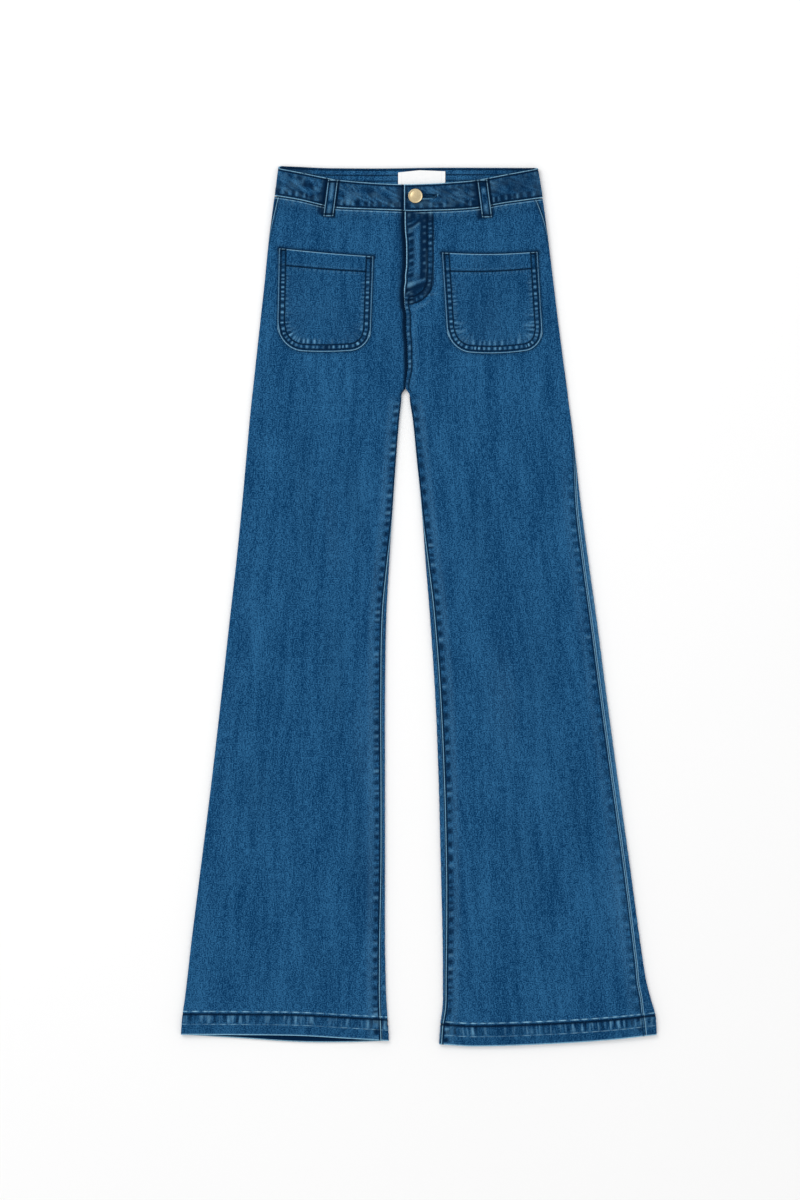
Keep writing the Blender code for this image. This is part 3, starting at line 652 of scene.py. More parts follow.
def makePocket(pocket):
    across, down, below = pocket["plan"]
    side = pocket["side"]
    seed = pocket["seed"]
    edge, along = nearLine(across, down, pocket["edge"])
    pocketAlong = (down - pocket["topInDown"]) / (pocket["lowDown"] - pocket["topInDown"])
    first, last = pocketSides(pocket, pocketAlong)
    share = unit((across - first) / (last - first))
    rows = doubleRow(edge, pocketLook["outerRow"], pocketLook["innerRow"])
    bandLine = below - pocketBandDepth(pocket, share)
    inBody = ease(8.0, 9.5, edge)
    # blocks between the two rows, rays inwards of them, and gathers under the band
    blocks = puckers(along, pocketLook["block"], seed)
    between = span(edge, 3.4, 4.4, 7.2, 8.2) * ease(14.0, 26.0, below)
    rays = puckers(along, 7.5, seed + 1) * unit(0.7 + 0.6 * softNoise(across, down, 30.0, 30.0, seed + 2))
    rays = rays * (0.55 + 0.45 * ease(70.0, 95.0, below))
    inwards = span(edge, 9.2, 10.4, 12.5, 18.0) * ease(24.0, 34.0, below)
    gathers = puckers(across, 5.0, seed + 3)
    underBand = stroke(bandLine - 3.0, 1.9) * ease(9.0, 11.0, edge)
    fans = pocketFans(pocket, across, down, below, edge, along, share)
    swell = softNoise(across, down, 22.0, 30.0, seed + 4)
    relief = 0.2 * blocks * between + 0.26 * rays * inwards + 0.12 * gathers * underBand + 0.25 * fans
    relief += 0.14 * swell * ease(4.0, 14.0, edge) - 0.18 * stroke(rows, 0.9)
    relief -= 0.18 * stroke(bandLine - 0.6, 0.9) * inBody + 0.3 * fade(0.0, 1.5, edge)
    relief -= 0.2 * fade(0.0, 1.2, below)
    wearAndPaintedLight = (0.66 + 0.3 * ease(78.0, 100.0, below)) * unit(blocks) ** 1.5 * between
    wearAndPaintedLight += 0.8 * unit(rays) ** 1.6 * inwards + 0.16 * unit(0.2 + gathers) * underBand
    wearAndPaintedLight += 0.02 * unit(swell) + 0.05 * stroke(bandLine + 2.2, 1.0) * inBody + 0.34 * unit(fans)
    deep = 0.9 * unit(-blocks) * between + 0.9 * unit(-rays) * inwards + 0.5 * unit(-fans)
    deep += 0.1 + 0.22 * fade(7.5, 9.5, edge) + 0.3 * fade(7.0, 9.0, edge) * fade(6.0, 9.0, below)
    middle = stroke((across - across[0].mean()) - 3.6, 5.0) * ease(60.0, 90.0, below) * pocket["darkMiddle"]
    wearAndPaintedLight = wearAndPaintedLight * (1.0 - middle)
    deep += 0.8 * middle * between
    lines = {}
    drawLine(lines, "rowA", rows, 1.0, 1.05)
    drawLine(lines, "rowB", bandLine - 0.6, 0.35 + 0.65 * inBody, 1.1)
    drawLine(lines, "edgeA", edge - 0.6, 0.42 + 0.3 * ease(70.0, 100.0, below), 0.65)
    drawLine(lines, "edgeB", below - 0.5, 0.58 * ease(0.5, 2.0, edge))
    inBand = np.arange(len(down)) >= len(down) - pocketLook["bandRows"]
    wall = np.where(inBand, cloth["pocketBandWall"], cloth["pocketWall"])[:, None]
    height = frontHeight(side, across, down) + cloth["pocketGap"] + wall
    return makeCloth(pocket["name"], pocket["node"], stackPoints(across, down, height + relief),
                     grainOf(across, down, 613.0 + seed * 7.0), (wearAndPaintedLight, deep, lines), cloth["pocketWall"],
                     thick=inBand, thickWall=cloth["pocketBandWall"])


# belt loops, their across is at the waistband's top
frontLoops = [
    {"name": "loopFrontRight", "node": "belt_loop_front_right", "side": "right", "across": -90.2,
     "below": 11.5, "seed": 61},
    {"name": "loopFrontLeft", "node": "belt_loop_front_left", "side": "left", "across": 95.8,
     "below": 13.0, "seed": 62},
]
backLoops = [
    {"name": "loopBackRight", "node": "belt_loop_back_right", "across": -92.0, "below": 11.0, "seed": 63},
    {"name": "loopBackCentre", "node": "belt_loop_back_centre", "across": 2.0, "below": 11.0, "seed": 64},
    {"name": "loopBackLeft", "node": "belt_loop_back_left", "across": 98.0, "below": 11.0, "seed": 65},
]
# hollow is how far from a front loop's middle the painted black shadow line beside it lies
loopLook = {"width": 12.5, "tilt": 6.0, "gap": 0.3, "columns": 14, "rows": 46, "hollow": 7.9, "start": 0.6,
            "stitches": 3.7}


def loopShade(beside):
    # painted shade in the hollow beside a loop, wider on the wearer's right
    return np.where(beside < 0.0, fade(8.5, 16.0, -beside), fade(7.0, 9.5, beside))


# the fronts
front = {
    "nearSteps": (0.21, 0.9, 1.8, 2.7, 3.6, 4.6, 5.7, 7.0, 8.5, 10.2, 12.2, 14.5),
    "flatSteps": 2, "flyPitch": 1.6, "flyReach": 39.0, "middle": 58,
    "zones": ((hem, 1058.0, 1.25), (1058.0, 190.0, 3.1), (190.0, waistRow, 1.6)),
    "grainSlope": {"right": 0.07, "left": -0.094},
    # where a line of painted shadow lies under a small fold below the band, beside the right loop
    "tuckShade": ((-119, 48), (-99, 57)),
}
fly = {
    "edgePitch": 8.0, "blockPitch": 6.8, "rowsApart": 9.5,
    "outerRow": ((34.2, 62), (34.3, 100), (34.2, 130), (33.3, 144), (32.3, 153), (30.0, 159), (25.8, 164.3),
                 (21, 168.6), (15.5, 171.5), (10.5, 173), (4.5, 174.5)),
    "innerRow": ((27.6, 62), (27.7, 100), (27.6, 137), (26.9, 147), (25, 153), (21.5, 158), (17, 161.5),
                 (12, 164), (4.5, 166)),
    "crotchRows": (0.6, 5.6),
    "brightPatch": ((4, 150.5), (24, 143.5)),
    "darkFold": ((3, 157), (12, 154.5), (27, 148)),
    "topFold": ((4, 78), (10, 76), (20, 69)), "topPale": ((5, 81.5), (11, 79), (17, 74)),
    "tackRows": ((12.4, 156), (12.4, 171)),
    "streaks": (((24, 163.5), (40, 161)), ((12, 181), (20, 174)), ((20, 178), (30, 170))),
}


def panelRows(zones):
    downs = []
    for start, end, pitch in zones:
        downs.append(np.linspace(start, end, max(round(abs(start - end) / pitch), 1), endpoint=False))
    downs.append([zones[-1][1]])
    return np.concatenate(downs)[:, None]


def joinColumns(places):
    # from a list of places, each a set of values, one array for each value
    return [np.hstack(values) for values in zip(*places)]


def acrossPanel(first, middle, last):
    # the columns from the first edge, in the middle, and from the last edge, which start at that edge
    return np.hstack((first, middle, last[:, ::-1]))


def edgesOf(side):
    # a panel's two edges, from the wearer's right to the left
    edges = [side + "Side", side + "Inside"]
    return edges if side == "right" else edges[::-1]


def nearColumns(side, edge, down, steps):
    places = []
    for order, step in enumerate(steps):
        if order < front["flatSteps"]:
            places.append(besideSeam(side, edge, down, step))
        else:
            places.append(foldedEdge(side, edge, down, turnAt(edge, down) + step))
    return joinColumns(places)


def frontPlan(side):
    # across, the row's own down, height, and the distances along the cloth from its two seams
    down = panelRows(front["zones"])
    edges = edgesOf(side)
    steps = []
    for edge in edges:
        near = list(front["nearSteps"])
        if edge == "leftInside":
            near += list(np.arange(near[-1] + front["flyPitch"], front["flyReach"], front["flyPitch"]))
        steps.append(near)
    firstAcross, firstHeight = nearColumns(side, edges[0], down, steps[0])
    lastAcross, lastHeight = nearColumns(side, edges[1], down, steps[1])
    share = np.linspace(0.0, 1.0, front["middle"] + 2)[None, 1:-1]
    middleAcross = mix(firstAcross[:, -1:], lastAcross[:, -1:], share)
    middleHeight = frontHeight(side, middleAcross, down)
    across = acrossPanel(firstAcross, middleAcross, lastAcross)
    height = acrossPanel(firstHeight, middleHeight, lastHeight)
    fromFirst = steps[0][-1] + across - firstAcross[:, -1:]
    fromFirst[:, :len(steps[0])] = steps[0]
    fromLast = steps[1][-1] + lastAcross[:, -1:] - across
    fromLast[:, -len(steps[1]):] = steps[1][::-1]
    fromSide, fromInside = (fromFirst, fromLast) if side == "right" else (fromLast, fromFirst)
    return across, down + 0.0 * across, height, fromSide, fromInside


def flyDetail(across, down, fromInside, lines):
    # the fly's folded edge, its J-shaped double row and what the washing left between them
    above = fade(160.0, 166.0, down)
    aboveBend = fade(138.0, 147.0, down)
    blotch = np.clip(0.75 + 0.7 * softNoise(across, down, 4.0, 5.0, 79), 0.2, 1.2)
    crest = puckers(down + 0.35 * across, fly["edgePitch"], 71)
    rope = puckers(down, 4.0, 72)
    field = span(fromInside, 3.0, 4.2, 8.5, 11.5) * above
    outer, along = nearLine(across, down, fly["outerRow"])
    inner = nearLine(across, down, fly["innerRow"])[0]
    betweenRows = outer + inner < fly["rowsApart"]
    within = ease(-0.5, 1.5, insideOf(across, down, fly["outerRow"])) * (down < 176.0) * (down > 60.0)
    byOuter = np.where(betweenRows | (within > 0.5), outer, -outer)
    rows = np.where(outer < inner, byOuter, np.where(betweenRows, inner, -inner))
    between = stroke(outer - inner, 2.6) * betweenRows * blotch
    blocks = puckers(along, fly["blockPitch"], 73)
    patch, patchAlong = nearLine(across, down, fly["brightPatch"])
    fold = nearLine(across, down, fly["darkFold"])[0]
    topFold = nearLine(across, down, fly["topFold"])[0]
    topPale = nearLine(across, down, fly["topPale"])[0]
    beside = span(across, 17.0, 19.5, 26.0, 28.0) * aboveBend
    panel = span(across, 10.0, 12.0, 16.5, 18.5) * ease(74.0, 84.0, down) * aboveBend
    spots = unit(puckers(down, 8.0, 76)) ** 1.5 * stroke(across - 23.8, 1.6) * beside
    patchFade = (1.0 - 0.65 * ease(7.0, 14.0, across)) * ease(2.5, 4.5, fromInside)
    corner = ease(146.0, 152.0, down) * within * (1.0 - 0.6 * blotch)
    corner = corner * (0.35 + 0.65 * ease(9.0, 17.0, across))
    relief = 0.28 * crest * field - 0.15 * (stroke(outer, 0.9) + stroke(inner, 0.9)) + 0.16 * blocks * between
    relief += 0.3 * stroke(patch, 4.0) - 0.25 * stroke(fold, 1.4)
    wearAndPaintedLight = 0.36 * unit(crest) ** 3 * field * blotch + 0.07 * panel * blotch + 0.34 * spots
    wearAndPaintedLight += 0.62 * unit(blocks) ** 1.5 * between + 0.5 * stroke(patch, 2.6 - 0.08 * patchAlong) * patchFade
    wearAndPaintedLight += 0.16 * stroke(across - 26.2, 0.8) * ease(104.0, 110.0, down) * aboveBend
    wearAndPaintedLight += 0.2 * stroke(across - 35.4, 0.9) * unit(0.4 + rope) * ease(72.0, 78.0, down) * aboveBend
    wearAndPaintedLight += 0.24 * stroke(topPale, 1.3)
    deep = (0.75 * ease(0.5, -0.3, crest) * blotch + 0.16) * field + 0.75 * beside * (1.0 - spots)
    deep += 0.26 * span(across, 2.0, 4.0, 33.0, 36.0) * above * (1.0 - 0.8 * panel)
    deep += (0.2 + 0.6 * unit(0.1 - blocks)) * betweenRows * ease(64.0, 68.0, down)
    deep += stroke(fold, 3.0) + 0.85 * corner + 0.4 * stroke(down - 139.5, 4.0) * within * (across > 6.0)
    deep += (0.8 - 0.4 * blotch) * fade(66.0, 76.0, down) * fade(32.0, 38.0, across)
    deep += 0.9 * stroke(topFold, 1.8)
    for line in fly["streaks"]:
        near = nearLine(across, down, line)[0]
        wearAndPaintedLight += 0.13 * stroke(near, 1.2)
        relief += 0.2 * stroke(near, 2.0)
    drawLine(lines, "rowAndShadowC", rows, ease(64.0, 66.0, down) * ease(3.5, 5.0, across), 1.1)
    crotch = crotchDetail(across, down, fromInside, lines)
    drawLine(lines, "rowAndShadowD", fromInside - 2.6, above)
    drawLine(lines, "rowAndShadowD", fold, 1.0 * (fold < 8.0), 2.4)
    drawLine(lines, "edgeD", fromInside - 0.8, (0.85 + 0.3 * rope) * fade(157.0, 163.0, down), 1.15)
    drawLine(lines, "edgeC", fromInside - 0.8, 0.35 * span(down, 158.0, 162.0, 174.0, 186.0))
    return addLook((relief, wearAndPaintedLight, deep), crotch)


def crotchDetail(across, down, fromInside, lines):
    # the crotch's own double row, and the short one that ends the fly beside it
    below = span(down, 166.0, 172.0, 281.0, 288.0)
    low = span(down, 157.0, 161.0, 270.0, 288.0)
    rows = doubleRow(fromInside, *fly["crotchRows"])
    tackRow = nearLine(across, down, fly["tackRows"])[0]
    blocks = puckers(down, 6.0, 74)
    gap = stroke(fromInside - 3.1, 1.6) + stroke(fromInside - 9.2, 1.8) * fade(172.0, 180.0, down)
    drawLine(lines, "rowAndShadowD", rows, 0.95 * below)
    drawLine(lines, "rowAndShadowD", tackRow, 0.9 * (tackRow < 6.0))
    relief = 0.16 * blocks * gap * low - 0.15 * stroke(rows, 0.85) * below
    wearAndPaintedLight = (0.6 * unit(blocks) ** 1.5 * gap + 0.04 * stroke(fromInside - 10.0, 3.0) * below) * low
    deep = (0.7 * unit(0.2 - blocks) * gap + 0.45 * (across < 13.0) * (down < 173.0)) * low
    deep += 0.25 * fade(5.5, 7.0, fromInside) * below
    return relief, wearAndPaintedLight, deep


def waistDetail(side, across, down, lines):
    # below the waistband, and painted shade beside the loop and round the pocket that lie on this front
    belowBand = down - waistAt(frontSeam, across) - cloth["waistGap"]
    gathers = puckers(across, 8.0, 33)
    above = down < midLeg
    beyondFly = ease(8.0, 22.0, across) if side == "left" else 1.0
    drawLine(lines, "rowB", belowBand - 0.1, 0.8, region=above)
    drawLine(lines, "edgeB", belowBand - 2.1, (0.38 + 0.2 * gathers) * beyondFly, region=above)
    relief = 0.15 * gathers * stroke(belowBand - 4.0, 3.5)
    wearAndPaintedLight = 0.14 * unit(gathers) * stroke(belowBand - 5.0, 3.0)
    deep = 0.2 * stroke(belowBand - 9.0, 7.0) * (np.abs(across) > 30.0) + 0.05 * fade(90.0, 130.0, down)
    pocket = onSide(pockets, side)
    # painted shadow on the front round the pocket's sides and bottom, and above its top edge
    deep += 0.55 * stroke(nearLine(across, down, pocket["edge"])[0], 2.2)
    deep += 0.9 * stroke(nearLine(across, down, pocket["top"])[0], 3.4)
    # painted shade beside the loop, and a painted black shadow line along it
    loop = onSide(frontLoops, side)
    beside = across - loop["across"] - np.sign(loop["across"]) * loopLook["tilt"]
    reach = fade(loop["below"] - 2.0, loop["below"] + 4.0, belowBand)
    deep += loopShade(beside) * reach
    loopShadowLine = np.where(reach > 0.1, np.abs(beside) - loopLook["hollow"], nowhere)
    drawLine(lines, "rowAndShadowC", loopShadowLine, 0.9 * reach, 1.1)
    return relief, wearAndPaintedLight, deep


def frontDetail(side, across, rowDown, down, fromSide, fromInside, lines):
    left = side == "left"
    legStart = ease(284.0, 300.0, down)
    sideStart = ease(330.0, 430.0, down) * left
    sideTop = fade(90.0, 118.0, down)  # where the waist turns the side seam onto the front
    inHem = ease(1054.0, 1063.0, down) * left
    look = hemDetail(side, across, rowDown, 21 if left else 22, lines)
    look = addLook(look, seamDetail(fromInside, down, 13.0 if left else 10.5, 31 + left), legStart)
    look = addLook(look, seamDetail(fromSide, down, 15.0, 32 + left), 0.6 * sideStart)
    drawLine(lines, "rowA", fromInside - 2.2, legStart)
    drawLine(lines, "rowA", fromSide - 2.3, 0.7 * sideStart + 0.5 * sideTop)
    drawLine(lines, "edgeA", fromInside - 0.4, 0.82 * legStart)
    drawLine(lines, "rowA", fromSide - 0.7, inHem)
    drawLine(lines, "edgeA", fromSide - 0.4, sideStart * (0.65 - 0.65 * inHem) + 0.55 * sideTop)
    relief, wearAndPaintedLight, deep = addLook(look, waistDetail(side, across, down, lines))
    # creases are painted darker in their hollows and paler on their ridges: painted shade and light on the
    # folds
    crease = creaseRelief(side, across, down)
    deep += 0.17 * np.clip(-crease, 0.0, 1.2)
    wearAndPaintedLight += 0.05 * unit(crease)
    if left:
        return addLook((relief, wearAndPaintedLight, deep), flyDetail(across, down, fromInside, lines))
    # painted shadow on the right front beside the fly's folded edge, with a painted black line in it
    byFly = fade(281.0, 292.0, down)
    shadeWidth = mix(6.4, 3.2, ease(172.0, 186.0, down))
    drawLine(lines, "rowAndShadowD", fromInside - 1.8, byFly, 2.6)
    deep += (0.95 * stroke(fromInside, shadeWidth) + 0.08 * stroke(fromInside, 14.0)) * byFly
    # painted shade under the small fold below the band beside the loop
    deep += 0.6 * stroke(nearLine(across, down, front["tuckShade"])[0], 3.0)
    return relief, wearAndPaintedLight, deep


def coverOf(pocket, across, down):
    # 1 under the pocket and 0 outside of it
    coverAcross, coverDown = pocket["plan"][:2]
    cover = ease(0.0, 3.0, across - coverAcross.min()) * ease(0.0, 3.0, coverAcross.max() - across)
    return cover * ease(0.0, 3.0, down - coverDown.min()) * ease(0.0, 3.0, coverDown.max() - down)


def makeFront(side):
    across, rowDown, height, fromSide, fromInside = frontPlan(side)
    down = followEdges(side, across, rowDown, 0.0)
    lines = {}
    relief, wearAndPaintedLight, deep = frontDetail(side, across, rowDown, down, fromSide, fromInside, lines)
    under = coverOf(onSide(pockets, side), across, down)
    relief = np.where(under > 0.0, np.minimum(relief, relief * (1.0 - under)), relief)
    points = pushOut(stackPoints(across, down, height), relief)
    grainAcross = across + front["grainSlope"][side] * (down - crotch) * ease(150.0, 420.0, down)
    return makeCloth("front" + side.capitalize(), "front_" + side, points, grainOf(grainAcross, down),
                     (wearAndPaintedLight, deep, lines), cloth["wall"],
                     thick=rowDown[:, 0] >= hem - cloth["hemDepth"], thickWall=cloth["hemWall"])


# the backs, each reaches round the folded edges to its seams on top
back = {"seamSteps": (0.21, 0.9), "foldStart": 1.65, "foldEnd": -6.0, "foldSteps": 18,
        "flatSteps": (-8.0, -10.5), "middle": 44, "middleStep": -20.0,
        "centreRows": (2.2, 8.4), "outsideDeep": 0.06,
        "zones": ((waistRow, 190.0, 3.0), (190.0, 1050.0, 5.0), (1050.0, hem, 2.2))}


def backNear(side, edge, down):
    # the columns from a seam on top round the folded edge, steps are along the cloth from the fold's middle
    turned = turnAt(edge, down)
    folded = [mix(turned - back["foldStart"], back["foldEnd"], share)
              for share in np.linspace(0.0, 1.0, back["foldSteps"])]
    folded += [step + 0.0 * turned for step in back["flatSteps"]]
    places = [besideSeam(side, edge, down, -offset) for offset in back["seamSteps"]]
    places += [foldedEdge(side, edge, down, step) for step in folded]
    return *joinColumns(places), np.hstack([turned - offset for offset in back["seamSteps"]] + folded)


def backDetail(side, across, down, steps, fromSide, fromInside, lines):
    # only what shows on top stands out, the floor is under the rest
    left = side == "left"
    onTop = ease(-3.0, -0.5, steps)
    # the back's hem is painted dark as shadow where its inside shows below the front's hem
    peeks = ease(1074.0, 1080.0, down) * (1.0 - onTop)
    sideStart = ease(300.0, 400.0, down)
    relief, wearAndPaintedLight, deep = hemDetail(side, across, down, 23 if left else 24, lines)
    wearAndPaintedLight = wearAndPaintedLight * (1.0 - peeks)
    deep += 0.85 * peeks
    for distance, pitch, seed, pale, dark, strength in (
        (fromInside, 10.0, 35, 0.06, 1.3, ease(284.0, 312.0, down)),
        (fromSide, 14.0, 37, 0.45, 0.9, sideStart),
    ):
        crest = puckers(down, pitch, seed + left)
        field = span(distance, 2.6, 4.5, 8.0, 16.0) * strength
        relief += (0.22 * crest * field - 0.1 * stroke(distance, 1.0)) * onTop
        wearAndPaintedLight += 0.25 * unit(crest) ** 2 * field
        deep += 0.9 * stroke(distance, dark) + 0.4 * unit(0.1 - crest) * field
        drawLine(lines, "edgeA", distance - 1.4, 1.2 * pale * strength)
    worn = ease(3.0, 5.0, fromSide) * (fromSide < 30.0) * fade(820.0, 900.0, down)
    wearAndPaintedLight += 0.18 * worn * onTop * sideStart
    deep += 0.6 * stroke(fromSide - 1.5, 1.5) * fade(90.0, 118.0, down)
    drawLine(lines, "rowB", down - waistRow - 0.2, 0.8, region=down < midLeg)
    drawLine(lines, "edgeB", down - waistRow - 2.1, 0.45, region=down < midLeg)
    byCentre = fade(270.0, 284.0, down) * left
    blocks = puckers(down, 6.4, 39)
    between = span(fromInside, 3.0, 4.0, 6.8, 7.8) * byCentre
    drawLine(lines, "rowAndShadowD", doubleRow(fromInside, *back["centreRows"]), 0.9 * byCentre)
    wearAndPaintedLight += 0.4 * unit(blocks) ** 2 * between
    deep += 0.4 * unit(0.1 - blocks) * between
    return np.where(onTop > 0.0, relief * onTop, 0.0), wearAndPaintedLight, deep


def paleOutside(piece):
    # the painted shadow on the hem stays on its inside alone, where it shows beyond the front
    mesh = piece.data
    normals = np.zeros(len(mesh.vertices) * 3)
    mesh.vertices.foreach_get("normal", normals)
    places = np.zeros(len(mesh.vertices) * 3)
    mesh.vertices.foreach_get("co", places)
    deep = np.zeros(len(mesh.vertices))
    mesh.attributes["deep"].data.foreach_get("value", deep)
    inHem = places[1::3] < garmentY - (hem - 30.0) * mm
    outside = (normals[2::3] < -0.3) & inHem & (deep > 0.6)
    mesh.attributes["deep"].data.foreach_set("value", np.where(outside, back["outsideDeep"], deep))
    mesh.update()


def makeBack(side):
    down = panelRows(back["zones"])
    edges = edgesOf(side)
    firstAcross, firstHeight, firstSteps = backNear(side, edges[0], down)
    lastAcross, lastHeight, lastSteps = backNear(side, edges[1], down)
    share = np.linspace(0.0, 1.0, back["middle"] + 2)[None, 1:-1]
    middleAcross = mix(firstAcross[:, -1:], lastAcross[:, -1:], share)
    flat = 0.0 * middleAcross
    across = acrossPanel(firstAcross, middleAcross, lastAcross)
    height = acrossPanel(firstHeight, lift(down) + flat, lastHeight)
    steps = acrossPanel(firstSteps, flat + back["middleStep"], lastSteps)
    folds = []
    for edge, near in zip(edges, (firstSteps, lastSteps)):
        folds.append(ease(-10.0, -2.0, near) * (crotchTurn(down) if edge.endswith("Inside") else 1.0))
    under = 1.0 - acrossPanel(folds[0], flat, folds[1])
    # how far each seam is along the cloth, and far off beyond the other one
    firstTurn = turnAt(edges[0], down)
    lastTurn = turnAt(edges[1], down)
    far = np.full(lastSteps.shape, 99.0)
    flatStart = -back["flatSteps"][-1]
    middleFirst = firstTurn + flatStart + middleAcross - firstAcross[:, -1:]
    middleLast = lastTurn + flatStart + lastAcross[:, -1:] - middleAcross
    fromFirst = acrossPanel(firstTurn - firstSteps, middleFirst, far)
    fromLast = acrossPanel(far, middleLast, lastTurn - lastSteps)
    fromSeams = (fromFirst, fromLast) if side == "right" else (fromLast, fromFirst)
    rowDown = down + 0.0 * across
    followed = followEdges(side, across, rowDown, under)
    lines = {}
    relief, wearAndPaintedLight, deep = backDetail(side, across, rowDown, steps, *fromSeams, lines)
    points = pushOut(stackPoints(across, followed, height), relief)
    along = acrossPanel(across[:, :1] - firstTurn + firstSteps, middleAcross,
                        across[:, -1:] + lastTurn - lastSteps)
    return makeCloth("back" + side.capitalize(), "back_" + side, points, grainOf(along, followed, 1307.0),
                     (wearAndPaintedLight, deep, lines), cloth["wall"], thick=down[:, 0] >= hem - cloth["hemDepth"],
                     thickWall=cloth["hemWall"], finishShape=paleOutside)


# the waistband, from its left end round the back to the underlap
band = {
    "start": -1.5, "rows": 40, "foldRoom": 1.6, "topRow": 2.3, "lowRow": 2.5, "endRow": 2.4,
    "innerRows": (8.75, 16.0),
    # zone, side, its first and last value, columns
    "zones": (("front", "left", 0.0, 1.0, 170), ("fold", "left", 3.0, -4.6, 10),
              ("back", "left", 0.0, 1.0, 120), ("fold", "right", -4.6, 3.0, 10),
              ("front", "right", 1.0, 0.0, 164), ("lap", "right", 2.0, 38.0, 20)),
    "mouth": ((17, 43.2), (23, 43.1), (29, 43.0), (34, 41.7), (38, 40.2), (40.5, 38)),
}
button = {"across": 12.4, "down": 40.0, "radius": 8.9, "thick": 2.0, "shank": 3.4, "sides": 64,
          # the width and rise of each ring from the rim inwards
          "rings": ((0.55, 0.0), (0.75, -0.25), (1.0, -0.12), (0.9, 0.27), (1.3, 0.3), (1.6, 0.22),
                    (1.5, 0.1))}
hole = {"width": 2.0, "end": 37.0, "clearance": 0.5}


def bandSection(down):
    # across, height and how far under each point is
    radius = lie["band"]["side"] / 2.0
    quarter = radius * math.pi / 2.0
    sections = []
    first = 0
    for zone, side, start, end, count in band["zones"]:
        level = down[:, first:first + count]
        first += count
        flat = 0.0 * level
        value = np.linspace(start, end, count)[None, :] + flat
        leftInner = edgeAt("leftSide", level) - radius - band["foldRoom"]
        rightInner = edgeAt("rightSide", level) + radius + band["foldRoom"]
        if zone == "front":
            centre, inner = (band["start"], leftInner) if side == "left" else (0.0, rightInner)
            across = mix(centre, inner, value)
            sections.append((across, bandHeight(side, across), flat))
        elif zone == "lap":
            sections.append((value, flat + bandHeight("right", 0.0), flat))
        elif zone == "back":
            sections.append((mix(leftInner, rightInner, value), flat + lie["loopLift"], flat + 1.0))
        else:
            away = 1.0 if side == "left" else -1.0
            angle = np.clip(value / radius, -math.pi / 2.0, math.pi / 2.0)
            across = edgeAt(side + "Side", level) - away * radius * (1.0 - np.cos(angle))
            height = lie["loopLift"] + radius * (1.0 + np.sin(angle))
            sections.append((across, height, fade(-quarter, quarter, value)))
    return joinColumns(sections)


def bandPlan():
    # the band's points, then across, down, along the band, from its top and from its seam
    columns = sum(zone[-1] for zone in band["zones"])
    share = np.linspace(0.0, 1.0, band["rows"])[:, None]
    down = np.full((band["rows"], columns), 20.0)
    for turn in range(4):
        across, height, under = bandSection(down)
        top = mix(waistAt(frontTop, across), waistAt(backTop, across), under)
        seam = mix(waistAt(frontSeam, across), waistAt(backSeam, across), under)
        down = mix(seam, top, share)
    points = stackPoints(across, down, height)
    lengths = np.linalg.norm(np.diff(points[band["rows"] // 2], axis=0), axis=1)
    along = np.concatenate(([0.0], np.cumsum(lengths)))[None, :] + 0.0 * down
    return points, across, down, along, down - top, seam - down


def crumple(across, down, cellAcross, cellDown, seed):
    # about how far the nearest of the thin ridges between uneven cells is
    cells = np.random.default_rng(seed).uniform(0.0, 1.0, (latticeRows, latticeColumns, 3))
    x, y, column, row = cellOf(across, down, cellAcross, cellDown)
    nearest = np.full(x.shape, 9.0)
    second = nearest.copy()
    for stepX in (-1, 0, 1):
        for stepY in (-1, 0, 1):
            middle = cells[(row + stepY) % latticeRows, (column + stepX) % latticeColumns]
            away = np.hypot(column + stepX + middle[..., 0] - x, row + stepY + middle[..., 1] - y)
            second = np.where(away < nearest, nearest, np.minimum(second, away))
            nearest = np.minimum(nearest, away)
    return (second - nearest) * min(cellAcross, cellDown) / 2.0


